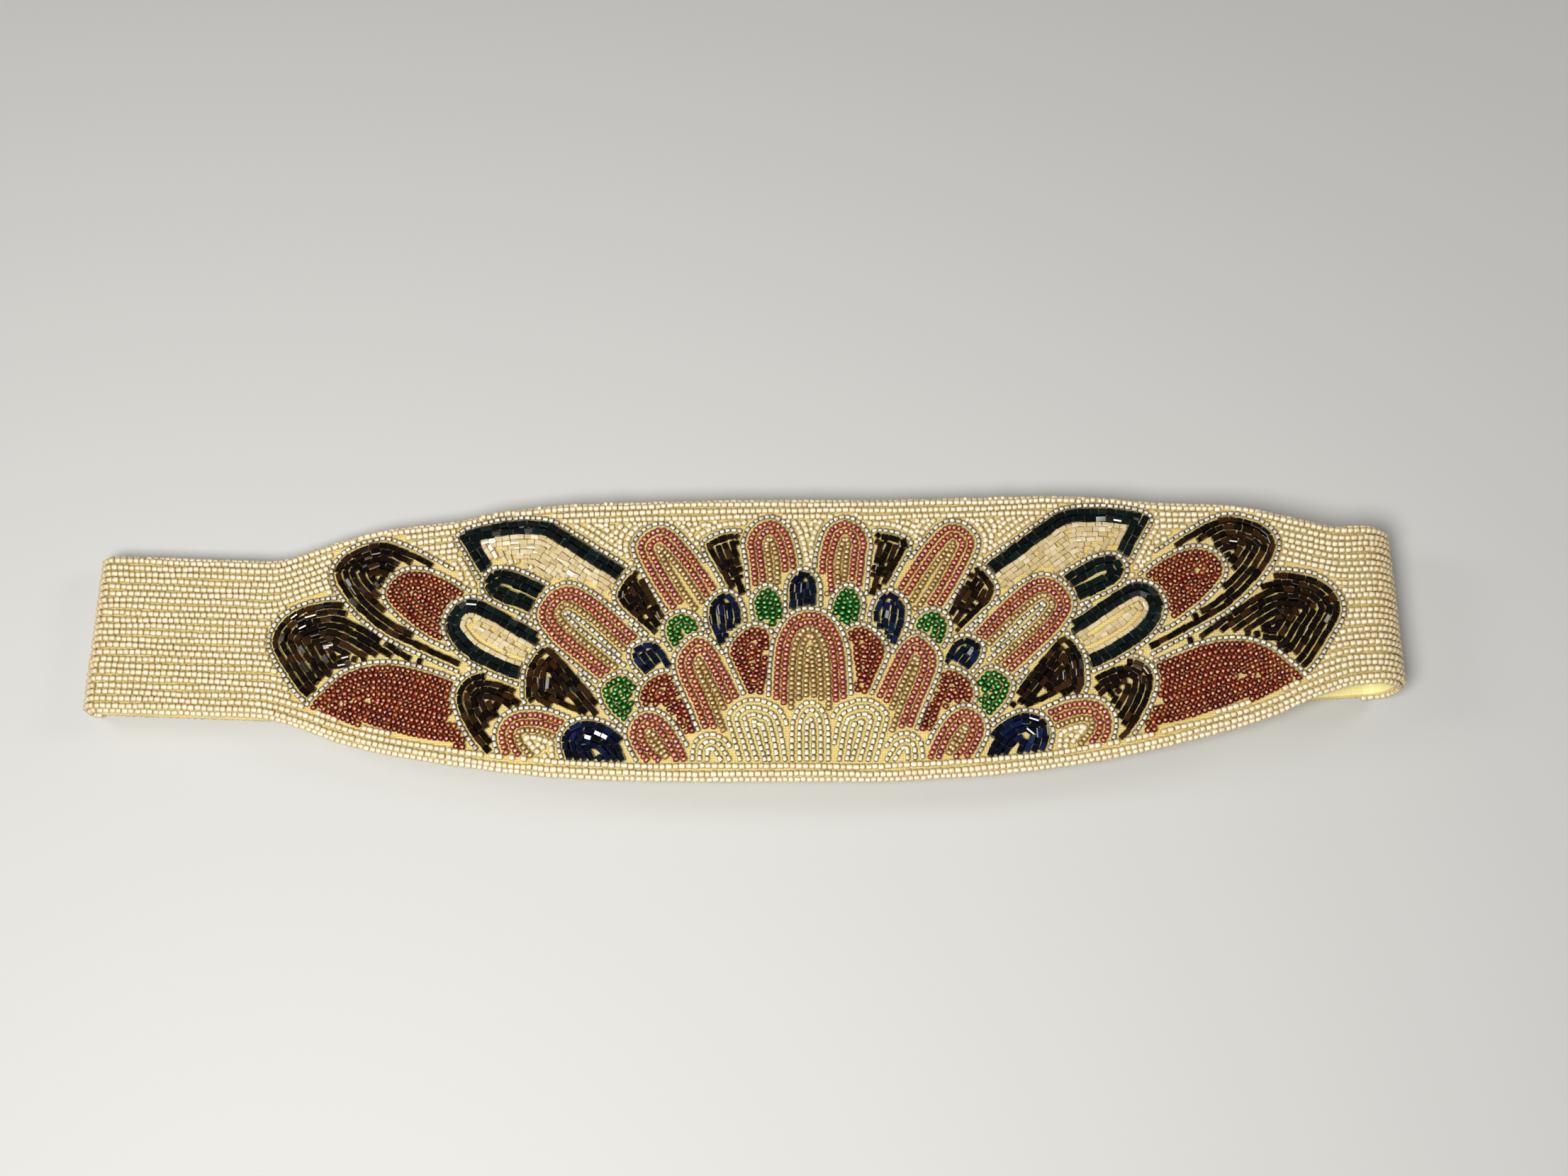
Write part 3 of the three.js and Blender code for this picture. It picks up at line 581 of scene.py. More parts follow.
def foot_and_axis(petal):
    """The middle of a petal's foot and the direction to its tip."""
    feet = (petal.line[0] + petal.line[-1]) / 2
    axis = petal.line[len(petal.line) // 2] - feet
    return feet, axis / np.linalg.norm(axis)


def columns(petal, pitch):
    """Lines from the foot of a petal to its tip: they draw together towards the foot."""
    feet, axis = foot_and_axis(petal)
    across = np.array([-axis[1], axis[0]])
    fine = even(np.concatenate([petal.line, petal.line[:1]]), 0.1) - feet
    far, side = fine @ axis, fine @ across
    heights = np.arange(far.min() + 0.3, far.max(), SPREAD_STEP)
    near = [side[np.abs(far - at) < SPREAD_STEP] for at in heights]
    spans = np.array([[found.min(), found.max()] for found in near])
    widest = int(np.argmax(spans[:, 1] - spans[:, 0]))
    spans[widest:] = spans[widest]
    count = max(1, round((spans[widest, 1] - spans[widest, 0] - 0.4) / pitch))
    shares = sorted(((k + 0.5) / count for k in range(count)), key=lambda t: -abs(t - 0.5))
    for share in shares:
        sideways = soften(spans[:, 0] + share * (spans[:, 1] - spans[:, 0]), 2)
        yield feet + heights[:, None] * axis + sideways[:, None] * across


def lay_columns(petal, index):
    """A row inside a petal's outline, then columns from its foot to its tip."""
    finish = petal.rows[0]
    bead = kind_of(finish)
    ring = beside(petal.line, -bead.pitch / 2)
    mask = in_front(ring, index) & above_hem(ring)
    string(petal.node, finish, finish, ring, mask, RING_CLEAR)
    for line in columns(petal, bead.pitch):
        line = even(line, COLUMN_STEP)
        mask = in_front(line, index) & above_hem(line)
        mask &= clear_of(line, petal) < -bead.pitch - 0.5 * bead.radius
        string(petal.node, finish, finish, line, mask, BUGLE_CLEAR)
    return finish


def lay_rings(petal, index):
    """Rows that follow a petal's outline inward. Gives back the finish of the innermost."""
    depth = -petal.field.values.min()
    finishes = petal.rows + petal.rows[-1:] * 14
    edges = np.concatenate([[0], np.cumsum([kind_of(name).pitch for name in finishes])])
    count = max(1, int(np.abs(edges - depth).argmin()))
    share = min(max(depth / edges[count], PITCH_LIMITS[0]), PITCH_LIMITS[1])
    for k in range(count + 1):
        line = beside(petal.line, -share * (edges[k] + edges[k + 1]) / 2)
        if len(line) < 4:
            break
        mask = in_front(line, index) & above_hem(line) & (clear_of(line, petal) < 0)
        string(petal.node, finishes[k], finishes[k], line, mask,
               BUGLE_CLEAR if finishes[k] in BUGLES else SEED_CLEAR)
    return finishes[count - 1]


def lay_petals():
    """Rows or columns in each petal, then single beads where room is left."""
    for index, petal in enumerate(petals):
        if petal.node.startswith(IN_COLUMNS):
            finish, fills = lay_columns(petal, index), COLUMN_FILLS
        else:
            finish = lay_rings(petal, index)
            fills = CLOSE_FILLS if petal.node.startswith(CLOSE_SET) else LOOSE_FILLS
        if finish not in OPEN:
            for scale in fills:
                fill_gaps(petal, index, finish, scale)


def spread(low, high):
    """Points all over a rectangle."""
    x, y = (np.arange(low[k], high[k], SPREAD_STEP) for k in (0, 1))
    return np.stack(np.meshgrid(x, y), -1).reshape(-1, 2)


def fill_gaps(petal, index, finish, scale):
    """Single beads where the rows leave room, laid along the petal."""
    bead = kind_of(finish)
    low, high = petal.line.min(0), petal.line.max(0)
    grid = spread(low, high)
    inside = (clear_of(grid, petal) < -bead.radius * scale) & above_hem(grid, bead.radius)
    inside[inside] = in_front(grid[inside], index, FAN_EDGE + 0.6, OUTLINE_EDGE + 0.6)
    axis = tuple(foot_and_axis(petal)[1])
    out = CLOTH_OUT[1] + bead.radius
    least = (FULL_FIT if scale == 1 else SMALL_FIT) * bead.radius * (1 + scale)
    for place, y in grid[inside]:
        layout.lay(petal.node, finish, finish,
                   [(place, y, axis, min(bead.length, 1.5) * scale)], out, least, scale)


# Rows of the borders: the row on the cloth's edge, the next one, and the rest a pitch apart
EDGE_ROW, SECOND_ROW, BOTTOM_PITCH = 0.6, 1.75, 2.12
BAND_ROWS, BORDER_ROWS = 13, 4
TOP_PITCH = (BAND_HALF - SECOND_ROW) / (BAND_ROWS - 2)  # the band's rows meet in its middle
EDGE_ROW_OUT = 2.0
BORDER_PLACES = 90, 150  # between these the borders' pitch becomes that of the band


def lay_band():
    """Rows along both edges. Beyond the wings they fill the whole band."""
    fine = np.concatenate([
        np.arange(RAMP_FOOT + 1, LEFT_FOLD_END, 0.4), np.arange(LEFT_FOLD_END, -LEFT_REACH, 0.03),
        np.arange(-LEFT_REACH, RIGHT_REACH, 0.25), np.arange(RIGHT_REACH, RIGHT_FOLD_END, 0.1),
        np.arange(RIGHT_FOLD_END, PLACE[-1] - 1, 0.4),
    ])
    on_front = (fine > LEFT_FOLD_END) & (fine < RIGHT_FOLD_END)
    in_middle = np.abs(fine) <= MIDDLE_REACH
    for k in range(BAND_ROWS):
        for line, toward in ((TOP_LINE, -1), (BOTTOM_LINE, 1)):
            pitch = np.interp(np.abs(fine), BORDER_PLACES,
                              (TOP_PITCH if toward < 0 else BOTTOM_PITCH, TOP_PITCH))
            front = EDGE_ROW if k == 0 else SECOND_ROW + (k - 1) * pitch
            offset = np.where(on_front, front, SECOND_ROW + k * TOP_PITCH)
            wobble = 0.12 * np.sin(fine / 9.0 + 1.7 * k) + 0.08 * np.sin(fine / 4.1 + k)
            y = height(line, fine) + toward * (offset + (wobble if k else 0))
            row = np.stack([fine, y], 1)
            in_hem = (toward > 0) & (y < height(HEM_LINE, fine) - 0.1)
            in_hem &= np.abs(fine) < BORDER_PLACES[1]
            wanted = ~in_middle | (k < BORDER_ROWS if toward < 0 else in_hem)
            free = np.full(len(fine), True)
            for petal in petals:
                free &= clear_of(row, petal) > OUTLINE_EDGE
            mask = wanted & (free | in_hem)
            laid = CLOTH_OUT[1] + KINDS["ground"].radius
            for piece, part, kind, out in (
                ("ground_beads_left", on_front & (fine < -MIDDLE_REACH), "ground", None),
                ("ground_beads_middle", on_front & in_middle, "ground", None),
                ("ground_beads_right", on_front & (fine > MIDDLE_REACH), "ground", None),
                ("back_beads_left", fine <= LEFT_FOLD_END, "back", laid),
                ("back_beads_right", fine >= RIGHT_FOLD_END, "back", laid),
            ):
                if (mask & part).any():
                    string(piece, kind, "ground", row, mask & part, BAND_CLEAR,
                           out=out or (laid if k else EDGE_ROW_OUT))


FILLER_ROWS, FILLER_HEM = 9, 0.9
FILLER_SCALES, FILLER_FIT, FILLER_LENGTH = (1.0, 0.85), 0.9, 1.4


def lay_fillers():
    """Rows that follow the petals' outlines, between them and the borders."""
    below = SECOND_ROW + (BORDER_ROWS - 1.4) * TOP_PITCH
    for k in range(FILLER_ROWS):
        distance = OUTLINE_AT + (k + 1) * KINDS["ground"].pitch
        for petal in petals:
            if petal.node == "cream_fan":
                continue
            line = beside(petal.line, distance)
            if len(line) < 4:
                continue
            mask = above_hem(line, FILLER_HEM) & (np.abs(line[:, 0]) < MIDDLE_REACH)
            mask &= line[:, 1] < height(TOP_LINE, line[:, 0]) - below
            for other in petals:
                mask &= clear_of(line, other) > distance - 0.1
            string("ground_beads_middle", "ground", "ground", line, mask, SEED_CLEAR)


def lay_single():
    """Single beads of the ground where its rows leave room."""
    points = spread((-MIDDLE_REACH, -DESIGN_RISE), (MIDDLE_REACH, TOP_LINE[1].max()))
    points = points[above_hem(points, FILLER_HEM)
                    & (points[:, 1] < height(TOP_LINE, points[:, 0]) - EDGE_ROW)]
    for petal in petals:
        points = points[clear_of(points, petal) > OUTLINE_EDGE]
    bead = KINDS["ground"]
    for scale in FILLER_SCALES:
        for place, y in points:
            layout.lay("ground_beads_middle", "ground", "ground",
                       [(place, y, (1.0, 0.0), FILLER_LENGTH * scale)],
                       CLOTH_OUT[1] + bead.radius, FILLER_FIT * bead.radius * (1 + scale), scale)


lay_outlines()
lay_petals()
lay_band()
lay_fillers()
lay_single()


# ---------------------------------------------------------------- meshes
def bead_mesh(name, rows):
    """One mesh for all the beads of a piece, with a material slot for each finish."""
    finishes = sorted({row.finish for row in rows})
    verts, loops, slots, ends, tones, highlight_and_gloss, smooth = [], [], [], [], [], [], []
    loop_total = []
    base = 0
    for row in rows:
        bead = kind_of(row.kind)
        brick = row.kind in BUGLES
        count, rings, sides = len(row.place), len(bead.profile), len(bead.section)
        place = row.place + rng.normal(0, STRAY_ALONG, count)
        y = row.y + rng.normal(0, STRAY_ACROSS, count)
        turn = rng.normal(0, STRAY_TURN, count)
        cos, sin = np.cos(turn), np.sin(turn)
        along = np.stack([row.along[:, 0] * cos - row.along[:, 1] * sin,
                          row.along[:, 0] * sin + row.along[:, 1] * cos], 1)
        out = row.out + rng.normal(0, STRAY_OUT, count)
        centre = on_loop(place, y, out)
        axis = (on_loop(place + 0.05 * along[:, 0], y + 0.05 * along[:, 1], out)
                - on_loop(place - 0.05 * along[:, 0], y - 0.05 * along[:, 1], out))
        axis /= np.linalg.norm(axis, axis=1)[:, None]
        up = np.stack([np.interp(place, PLACE, OUT_X), np.zeros(count),
                       np.interp(place, PLACE, OUT_Z)], 1)
        axis += rng.normal(0, BUGLE_TIP if brick else SEED_TIP, count)[:, None] * up
        axis /= np.linalg.norm(axis, axis=1)[:, None]
        up -= (up * axis).sum(1)[:, None] * axis
        up /= np.linalg.norm(up, axis=1)[:, None]
        side = np.cross(axis, up)
        radius = bead.radius * row.scale * rng.normal(1, SIZE_SPREAD, count).clip(*SIZE_LIMITS)
        spin = rng.normal(0, BUGLE_SPIN, count) if brick else rng.uniform(0, math.tau, count)
        block = []
        for share, width in bead.profile:
            for u, v in bead.section:
                a = (u * np.cos(spin) - v * np.sin(spin))[:, None]
                b = (u * np.sin(spin) + v * np.cos(spin))[:, None]
                block.append(centre + (share * row.length / 2)[:, None] * axis
                             + (width * radius)[:, None] * (a * up + b * side))
        verts.append(np.stack(block, 1).reshape(-1, 3))
        quads = [[r * sides + s, r * sides + (s + 1) % sides,
                  (r + 1) * sides + (s + 1) % sides, (r + 1) * sides + s]
                 for r in range(rings - 1) for s in range(sides)]
        caps = [list(range(sides - 1, -1, -1)),
                list(range((rings - 1) * sides, rings * sides))]
        local = [corner for face in quads + caps for corner in face]
        totals = [len(face) for face in quads + caps]
        step = rings * sides
        loops.append((np.arange(count)[:, None] * step + base + np.array(local)).ravel())
        loop_total.append(np.tile(totals, count))
        slots.append(np.full(count * len(totals), finishes.index(row.finish)))
        smooth.append(np.full(count * len(totals), not brick))
        # how far along the hole each ring lies: it drives the painted shade at the hole ends
        ends.append(np.tile(np.repeat([abs(p[0]) for p in bead.profile], sides), count))
        tones.append(np.repeat(rng.random(count), step))
        # a random share per bead that sets the strength of its painted highlight and its roughness
        highlight_and_gloss.append(np.repeat(rng.random(count), step))
        base += count * step
    verts = np.concatenate(verts) * MM
    loops, loop_total = np.concatenate(loops), np.concatenate(loop_total)
    slots = np.concatenate(slots)
    starts = np.concatenate([[0], np.cumsum(loop_total)[:-1]])
    mesh = bpy.data.meshes.new(name)
    mesh.vertices.add(len(verts))
    mesh.vertices.foreach_set("co", verts.astype(np.float32).ravel())
    mesh.loops.add(len(loops))
    mesh.loops.foreach_set("vertex_index", loops.astype(np.int32))
    mesh.polygons.add(len(starts))
    mesh.polygons.foreach_set("loop_start", starts.astype(np.int32))
    mesh.polygons.foreach_set("material_index", slots.astype(np.int32))
    mesh.update(calc_edges=True)
    mesh.polygons.foreach_set("use_smooth", np.concatenate(smooth))
    for attribute, values in (("end", ends), ("tone", tones), ("highlight_and_gloss", highlight_and_gloss)):
        layer = mesh.attributes.new(attribute, "FLOAT", "POINT")
        layer.data.foreach_set("value", np.concatenate(values).astype(np.float32))
    for finish in finishes:
        mesh.materials.append(FINISHES[finish])
    mesh.validate()
    piece = bpy.data.objects.new(name, mesh)
    bpy.context.scene.collection.objects.link(piece)
    return piece


RIBBON_STEP, LEFT_FOLD_STEPS, RIGHT_FOLD_STEPS, RIBBON_ACROSS = 2.0, 14, 22, 26
HEM_ANGLES = np.radians((45, 90, 135))  # of the rounded edges


def ribbon(name, low, high, inset):
    """A thin closed strip of cloth over the whole loop, with rounded edges."""
    place = np.unique(np.concatenate([
        np.arange(PLACE[0], LEFT_FOLD_END, RIBBON_STEP),
        np.linspace(LEFT_FOLD_END, -LEFT_REACH, LEFT_FOLD_STEPS),
        np.arange(-LEFT_REACH, RIGHT_REACH, RIBBON_STEP),
        np.linspace(RIGHT_REACH, RIGHT_FOLD_END, RIGHT_FOLD_STEPS),
        np.arange(RIGHT_FOLD_END, PLACE[-1], RIBBON_STEP), [PLACE[-1]],
    ]))
    top = height(TOP_LINE, place) - inset
    bottom = height(BOTTOM_LINE, place) + inset
    radius = (high - low) / 2
    outer = np.linspace(0, 1, RIBBON_ACROSS)
    section = [(u, 0.0, high) for u in outer]
    section += [(1.0, radius * math.sin(a), low + radius + radius * math.cos(a))
                for a in HEM_ANGLES]
    section += [(u, 0.0, low) for u in outer[::-1]]
    section += [(0.0, -radius * math.sin(a), low + radius - radius * math.cos(a))
                for a in HEM_ANGLES]
    rings = []
    for u, y, out in section:
        height_at = bottom + radius + u * (top - bottom - 2 * radius) + y
        rings.append(on_loop(place, height_at, out))
    rings = np.stack(rings, 1)
    count, around = rings.shape[:2]
    verts = [tuple(point) for point in rings.reshape(-1, 3) * MM]
    faces = []
    for i in range(count - 1):
        for j in range(around):
            k = (j + 1) % around
            faces.append((i * around + j, i * around + k,
                          (i + 1) * around + k, (i + 1) * around + j))
    faces.append(tuple(range(around - 1, -1, -1)))
    faces.append(tuple(range((count - 1) * around, count * around)))
    mesh = bpy.data.meshes.new(name)
    mesh.from_pydata(verts, [], faces)
    mesh.validate()
    mesh.polygons.foreach_set("use_smooth", np.full(len(mesh.polygons), True))
    piece = bpy.data.objects.new(name, mesh)
    bpy.context.scene.collection.objects.link(piece)
    width = top - bottom
    area = float(np.sum((width[1:] + width[:-1]) / 2 * np.diff(place)))
    return piece, (float(width.max()), float(place[-1] - place[0])), area


# ---------------------------------------------------------------- materials
def node(tree, kind, **values):
    made = tree.nodes.new(kind)
    for key, value in values.items():
        setattr(made, key, value)
    return made


def ramp(tree, source, stops):
    """A colour ramp with (position, colour) stops."""
    made = node(tree, "ShaderNodeValToRGB")
    elements = made.color_ramp.elements
    while len(elements) < len(stops):
        elements.new(0.5)
    for element, (position, colour) in zip(elements, stops):
        element.position = position
        element.color = (*colour, 1)
    tree.links.new(source, made.inputs["Fac"])
    return made.outputs["Color"]


def mix(tree, factor, a, b):
    made = node(tree, "ShaderNodeMix", data_type="RGBA")
    for socket, value in ((made.inputs[0], factor), (made.inputs[6], a), (made.inputs[7], b)):
        if isinstance(value, bpy.types.NodeSocket):
            tree.links.new(value, socket)
        else:
            socket.default_value = value if isinstance(value, float) else (*value, 1)
    return made.outputs[2]


def map_range(tree, source, low, high):
    """A value from 0 to 1 spread from low to high."""
    made = node(tree, "ShaderNodeMapRange")
    tree.links.new(source, made.inputs["Value"])
    made.inputs["To Min"].default_value = low
    made.inputs["To Max"].default_value = high
    return made.outputs["Result"]


def bare_material(name, sockets):
    material = bpy.data.materials.new(name)
    material.use_nodes = True
    shader = material.node_tree.nodes["Principled BSDF"]
    for key, value in sockets.items():
        shader.inputs[key].default_value = value
    return material, material.node_tree, shader


def attribute(tree, name):
    return node(tree, "ShaderNodeAttribute", attribute_name=name).outputs["Fac"]


FACING_BLEND = 0.35
DIMMEST = 0.35  # of the painted highlights, in shares of the brightest


def bead_glass(name, tones, painted_highlight, ends, rim_shade, roughness, hole=(0.66, 1.0), spot=(0.05, 0.2),
               edge=(0.25, 0.95), **sockets):
    """Glass of one colour that varies from bead to bead, with light and shade painted into its
    colour. Where it faces the eye it takes a painted highlight in place of the lamps' glint, which
    on the silver-lined finishes also stands for the bright lining; towards the hole ends and the rim
    it darkens with painted shade. hole, spot and edge say where that begins and ends."""
    material, tree, shader = bare_material(name, sockets)
    colour = ramp(tree, attribute(tree, "tone"),
                  [(i / (len(tones) - 1), tone) for i, tone in enumerate(tones)])
    facing = node(tree, "ShaderNodeLayerWeight")
    facing.inputs["Blend"].default_value = FACING_BLEND
    # painted shade: darker towards the rim, where the bead turns away from the eye
    side = ramp(tree, facing.outputs["Facing"], [(edge[0], (0, 0, 0)), (edge[1], (1, 1, 1))])
    colour = mix(tree, side, colour, rim_shade)
    if painted_highlight:
        # painted highlight: the highlight colour where the bead faces the eye, dimmer on some beads
        middle = ramp(tree, facing.outputs["Facing"], [(spot[0], (1, 1, 1)), (spot[1], (0, 0, 0))])
        highlight_mask = node(tree, "ShaderNodeMath", operation="MULTIPLY")
        tree.links.new(middle, highlight_mask.inputs[0])
        tree.links.new(map_range(tree, attribute(tree, "highlight_and_gloss"), DIMMEST, 1.0), highlight_mask.inputs[1])
        colour = mix(tree, highlight_mask.outputs[0], colour, painted_highlight)
    # painted shade: darker towards the hole at each end, where beads meet
    inner = ramp(tree, attribute(tree, "end"), [(hole[0], (0, 0, 0)), (hole[1], (1, 1, 1))])
    colour = mix(tree, inner, colour, ends)
    tree.links.new(colour, shader.inputs["Base Color"])
    tree.links.new(map_range(tree, attribute(tree, "highlight_and_gloss"), *roughness),
                   shader.inputs["Roughness"])
    return material


def lustre(weight, roughness, tint=(1.0, 1.0, 1.0), index=1.5, level=0.2):
    """The sockets of a clear skin over the glass."""
    return {"Coat Weight": weight, "Coat Roughness": roughness, "Coat IOR": index,
            "Coat Tint": (*tint, 1), "Specular IOR Level": level}


# Each finish: its tones, the painted highlight's colour (None for none), the painted shade's colour
# at the hole ends and at the rim, and its roughness range
FINISHES = {
    "ground": bead_glass(
        "clear_cream_glass",
        [(0.58, 0.46, 0.26), (0.63, 0.52, 0.32), (0.60, 0.465, 0.30), (0.66, 0.575, 0.38)],
        (0.84, 0.78, 0.62), (0.50, 0.38, 0.17), (0.47, 0.35, 0.14), (0.15, 0.3),
        spot=(0.03, 0.16), **lustre(0.3, 0.1)),
    "silver": bead_glass(
        "silver_lined_glass",
        [(0.28, 0.235, 0.16), (0.36, 0.31, 0.22), (0.22, 0.18, 0.11), (0.42, 0.37, 0.28)],
        (0.76, 0.73, 0.64), (0.05, 0.035, 0.015), (0.04, 0.03, 0.014), (0.15, 0.3),
        hole=(0.7, 1.0), spot=(0.03, 0.2), edge=(0.22, 0.62), **lustre(0.6, 0.08)),
    "fan": bead_glass(
        "warm_silver_lined_glass",
        [(0.44, 0.35, 0.19), (0.52, 0.43, 0.26), (0.36, 0.28, 0.14), (0.58, 0.50, 0.33)],
        (0.90, 0.86, 0.73), (0.10, 0.075, 0.03), (0.14, 0.10, 0.045), (0.15, 0.3),
        hole=(0.7, 1.0), spot=(0.04, 0.2), edge=(0.25, 0.75), **lustre(0.5, 0.08)),
    "rose": bead_glass(
        "rose_lustre_glass",
        [(0.23, 0.032, 0.008), (0.29, 0.058, 0.016), (0.17, 0.018, 0.022), (0.33, 0.074, 0.016),
         (0.19, 0.026, 0.045)],
        (0.72, 0.46, 0.40), (0.12, 0.014, 0.004), (0.09, 0.009, 0.006), (0.15, 0.25),
        spot=(0.02, 0.115), **lustre(0.5, 0.08, (1.0, 0.86, 0.93))),
    "gold": bead_glass(
        "pale_gold_glass",
        [(0.23, 0.125, 0.028), (0.30, 0.175, 0.048), (0.20, 0.105, 0.026), (0.36, 0.235, 0.080)],
        (0.72, 0.61, 0.42), (0.13, 0.065, 0.012), (0.12, 0.06, 0.012), (0.15, 0.25),
        spot=(0.02, 0.12), **lustre(0.5, 0.08)),
    "garnet": bead_glass(
        "garnet_glass",
        [(0.10, 0.005, 0.0008), (0.165, 0.014, 0.002), (0.065, 0.0025, 0.004),
         (0.23, 0.034, 0.004)],
        (0.66, 0.38, 0.26), (0.05, 0.002, 0.0005), (0.04, 0.001, 0.0005), (0.12, 0.2),
        spot=(0.01, 0.085), **lustre(0.4, 0.06, (0.97, 0.86, 0.95))),
    "green": bead_glass(
        "emerald_glass",
        [(0.001, 0.052, 0.002), (0.003, 0.090, 0.005), (0.001, 0.036, 0.001),
         (0.006, 0.13, 0.010)],
        (0.30, 0.56, 0.25), (0.001, 0.012, 0.001), (0.001, 0.014, 0.001), (0.1, 0.2),
        spot=(0.01, 0.075), **lustre(0.4, 0.06, (0.9, 1.0, 0.9))),
    "navy": bead_glass(
        "navy_glass",
        [(0.001, 0.0015, 0.003), (0.002, 0.004, 0.014), (0.001, 0.002, 0.004),
         (0.006, 0.013, 0.055)],
        None, (0.05, 0.052, 0.06), (0.001, 0.001, 0.002), (0.1, 0.25), hole=(0.94, 1.0),
        **lustre(0.7, 0.06, (0.62, 0.78, 1.0))),
    "brown": bead_glass(
        "dark_bronze_glass",
        [(0.003, 0.0013, 0.0005), (0.002, 0.001, 0.0004), (0.007, 0.003, 0.001),
         (0.035, 0.015, 0.005)],
        None, (0.055, 0.036, 0.015), (0.001, 0.0006, 0.0003), (0.1, 0.25), hole=(0.94, 1.0),
        **lustre(0.7, 0.06, (1.0, 0.85, 0.75))),
    "teal": bead_glass(
        "black_teal_glass",
        [(0.0015, 0.003, 0.003), (0.002, 0.005, 0.005), (0.001, 0.002, 0.002),
         (0.004, 0.012, 0.012)],
        None, (0.07, 0.08, 0.065), (0.001, 0.0015, 0.002), (0.1, 0.25), hole=(0.94, 1.0),
        **lustre(0.7, 0.06)),
    "pearl": bead_glass(
        "pearl_glass",
        [(0.56, 0.44, 0.25), (0.70, 0.58, 0.37), (0.52, 0.40, 0.21), (0.80, 0.73, 0.54)],
        None, (0.48, 0.37, 0.15), (0.46, 0.33, 0.13), (0.15, 0.3), hole=(0.9, 1.0),
        **lustre(1.0, 0.14, index=1.9)),
}


CLOUD_SCALE, CLOUD_DETAIL, THREAD_WANDER = 90.0, 5.0, 1.2
THREAD_SHADE, THREAD_DEPTH, SHEEN_ROUGHNESS = 0.35, 0.0004, 0.4
SATIN_FLOAT = 3.0  # how many threads the long ones of satin pass over


def woven(name, colours, thread, sheen, roughness, bump, float_over=1):
    """Cloth with crossing threads and slow changes of colour. thread is their pitch in metres."""
    material, tree, shader = bare_material(
        name, {"Sheen Weight": sheen, "Sheen Roughness": SHEEN_ROUGHNESS})
    where = node(tree, "ShaderNodeTexCoord").outputs["Object"]
    cloudy = node(tree, "ShaderNodeTexNoise")
    cloudy.inputs["Scale"].default_value = CLOUD_SCALE
    cloudy.inputs["Detail"].default_value = CLOUD_DETAIL
    tree.links.new(where, cloudy.inputs["Vector"])
    colour = ramp(tree, cloudy.outputs["Fac"], [(0.3, colours[0]), (0.7, colours[1])])
    waves = []
    for direction, over in (("X", float_over), ("Y", 1)):
        wave = node(tree, "ShaderNodeTexWave", bands_direction=direction)
        wave.inputs["Scale"].default_value = 1 / thread / over
        wave.inputs["Distortion"].default_value = THREAD_WANDER
        wave.inputs["Detail"].default_value = 1.0
        tree.links.new(where, wave.inputs["Vector"])
        waves.append(wave.outputs["Fac"])
    weave = node(tree, "ShaderNodeMath", operation="MULTIPLY")
    tree.links.new(waves[0], weave.inputs[0])
    tree.links.new(waves[1], weave.inputs[1])
    colour = mix(tree, map_range(tree, weave.outputs[0], THREAD_SHADE, 0.0), colour, colours[2])
    tree.links.new(colour, shader.inputs["Base Color"])
    tree.links.new(map_range(tree, cloudy.outputs["Fac"], *roughness),
                   shader.inputs["Roughness"])
    relief = node(tree, "ShaderNodeBump")
    relief.inputs["Strength"].default_value = bump
    relief.inputs["Distance"].default_value = THREAD_DEPTH
    tree.links.new(weave.outputs[0], relief.inputs["Height"])
    tree.links.new(relief.outputs["Normal"], shader.inputs["Normal"])
    return material


cloth_look = woven("yellow_cloth", [(0.70, 0.54, 0.18), (0.78, 0.64, 0.26), (0.54, 0.39, 0.11)],
                   0.0022, 0.25, (0.7, 0.9), 0.6)
satin_look = woven("pale_yellow_satin",
                   [(0.84, 0.76, 0.32), (0.92, 0.86, 0.45), (0.76, 0.66, 0.24)],
                   0.0016, 0.4, (0.32, 0.5), 0.25, SATIN_FLOAT)
tape_look = woven("fastening_tape", [(0.78, 0.72, 0.52), (0.84, 0.79, 0.6), (0.6, 0.54, 0.36)],
                  0.0018, 0.2, (0.8, 0.95), 0.9)


# ---------------------------------------------------------------- the pieces
REPLACES = {
    "ground_beads_left": "beads_front", "ground_beads_middle": "beads_front",
    "ground_beads_right": "beads_front", "outline_row": "beads_front",
    "back_beads_left": "beads_back_left", "back_beads_right": "beads_back_right",
}
bead_pieces = []
for name, rows in layout.pieces.items():
    stands_for = REPLACES.get(name, name)
    piece = bead_mesh(name if name in REPLACES else f"{name}_beads", rows)
    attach(piece, "root")
    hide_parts(stands_for)
    bead_pieces.append(piece)

cloth, cloth_flat, cloth_area = ribbon("cloth", *CLOTH_OUT, EDGE_INSET)
cloth.data.materials.append(cloth_look)
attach(cloth, "root")
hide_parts("cloth_band")
tuple(v * MM for v in cloth_flat)

satin, satin_flat, satin_area = ribbon("satin_lining", *LINING_OUT, LINING_INSET)
satin.data.materials.append(satin_look)
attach(satin, "root")
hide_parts("lining")
tuple(v * MM for v in satin_flat)

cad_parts["closure_tape"].data.materials.clear()
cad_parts["closure_tape"].data.materials.append(tape_look)

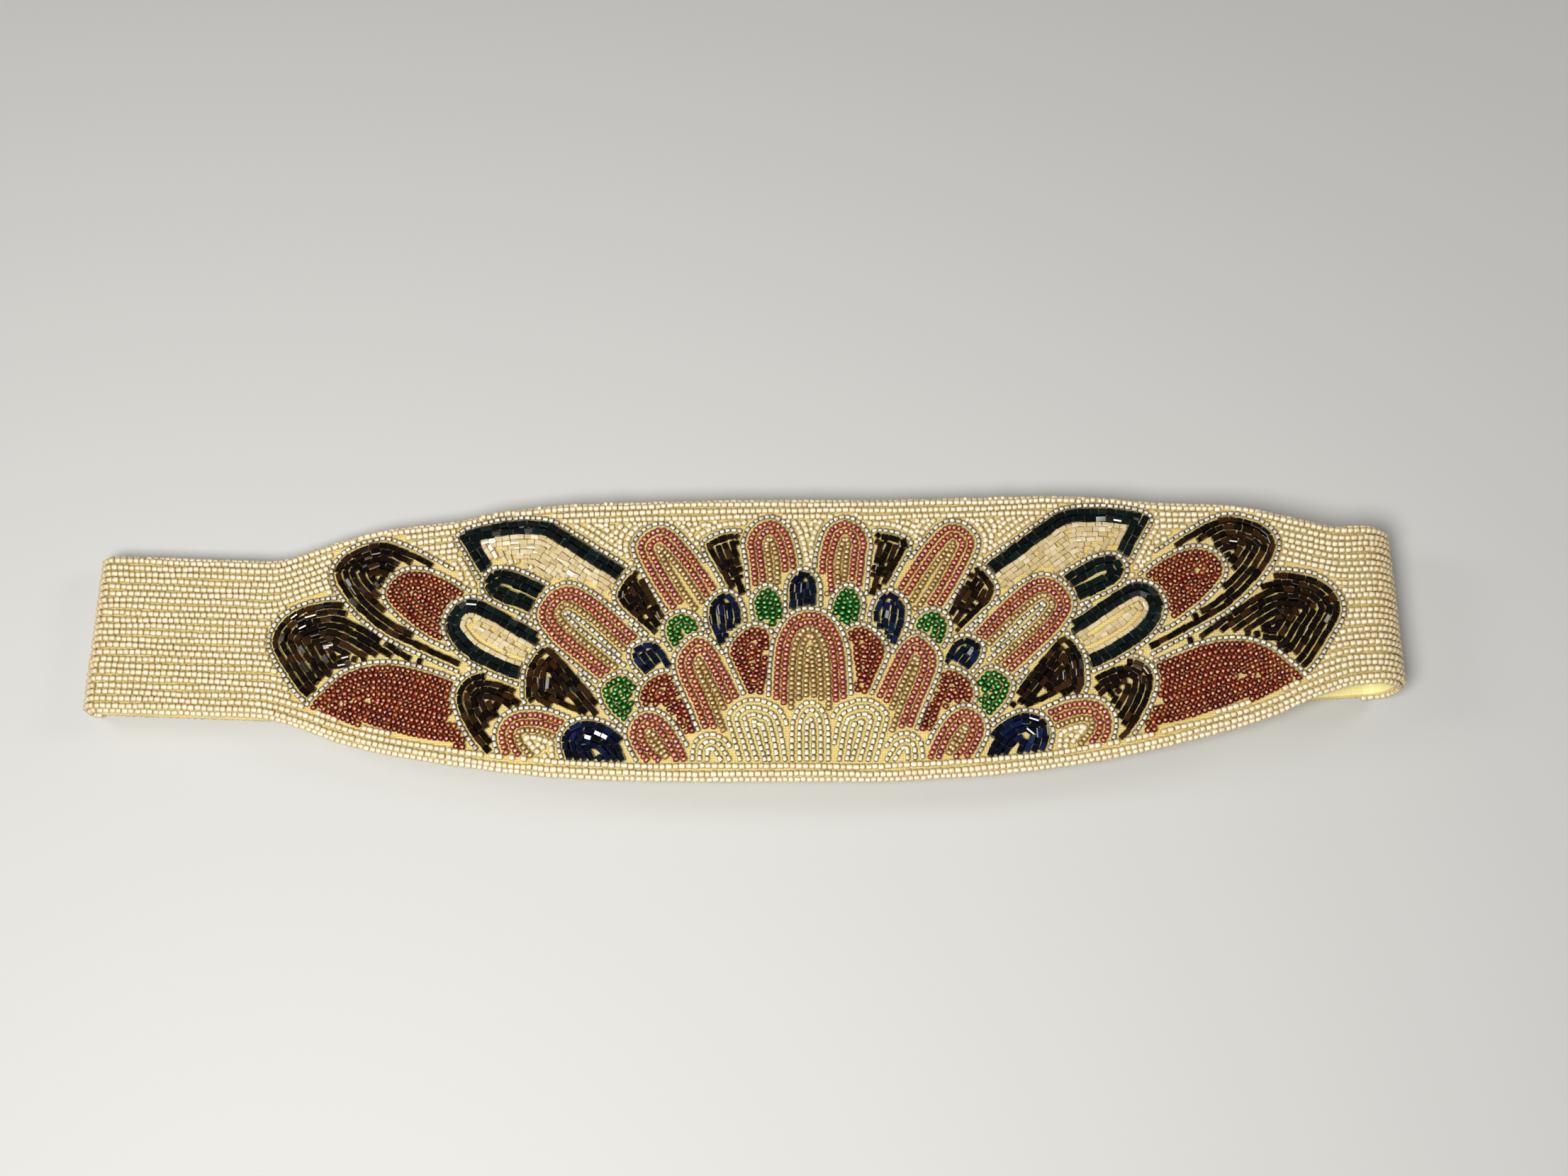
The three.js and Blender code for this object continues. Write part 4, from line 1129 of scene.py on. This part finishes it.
# ---------------------------------------------------------------- floor, light and camera
FLOOR_REACH, FLOOR_CLOUD_SCALE = 3, 3.0
corners = [(x * FLOOR_REACH, y * FLOOR_REACH, 0) for x, y in ((-1, -1), (1, -1), (1, 1), (-1, 1))]
floor_mesh = bpy.data.meshes.new("floor")
floor_mesh.from_pydata(corners, [], [(0, 1, 2, 3)])
floor = bpy.data.objects.new("floor", floor_mesh)
bpy.context.scene.collection.objects.link(floor)
floor_look, floor_tree, floor_shader = bare_material("pale_floor", {"Roughness": 0.85})
cloudy_floor = node(floor_tree, "ShaderNodeTexNoise")
cloudy_floor.inputs["Scale"].default_value = FLOOR_CLOUD_SCALE
floor_tree.links.new(ramp(floor_tree, cloudy_floor.outputs["Fac"],
                          [(0.3, (0.49, 0.49, 0.48)), (0.7, (0.51, 0.51, 0.50))]),
                     floor_shader.inputs["Base Color"])
floor_mesh.materials.append(floor_look)

SKY_COLOUR, SKY_STRENGTH = (0.95, 0.97, 1.0, 1), 0.08
world = bpy.data.worlds.new("studio")
world.use_nodes = True
background = world.node_tree.nodes["Background"]
background.inputs["Color"].default_value = SKY_COLOUR
background.inputs["Strength"].default_value = SKY_STRENGTH
bpy.context.scene.world = world

LAMP_SIZE = 0.3
LAMPS = [
    ("key", (-0.13, -0.28, 0.62), 6.3, (1.0, 0.985, 0.955)),
    ("fill_left", (-0.7, 0.15, 0.5), 1.6, (1.0, 0.98, 0.95)),
    ("fill_right", (0.7, 0.25, 0.5), 1.6, (1.0, 0.98, 0.96)),
]


def lamp(name, location, power, colour):
    """A round soft light that points at the middle of the belt."""
    data = bpy.data.lights.new(name, "AREA")
    data.shape, data.size, data.energy, data.color = "DISK", LAMP_SIZE, power, colour
    made = bpy.data.objects.new(name, data)
    made.location = location
    made.rotation_euler = (-Vector(location)).to_track_quat("-Z", "Y").to_euler()
    bpy.context.scene.collection.objects.link(made)


for values in LAMPS:
    lamp(*values)
bpy.context.scene.view_settings.view_transform = "Standard"

# The camera looks down at the belt from its lower edge, 20 degrees off the vertical.
TILT = math.radians(20)
DISTANCE = 520.0
FOCAL_PX, IMAGE_PX, SENSOR = 2600.0, 2212.0, 36.0
LOOKED_AT = np.array([-7.07, 16.2, 10.0])
camera_data = bpy.data.cameras.new("camera")
camera_data.lens = FOCAL_PX / IMAGE_PX * SENSOR
camera_data.sensor_width = SENSOR
camera = bpy.data.objects.new("camera", camera_data)
target = LOOKED_AT + [SHIFT[0], SHIFT[1], 0]
camera.location = (target + DISTANCE * np.array([0, -math.sin(TILT), math.cos(TILT)])) * MM
camera.rotation_euler = (TILT, 0, 0)
bpy.context.scene.collection.objects.link(camera)
bpy.context.scene.camera = camera
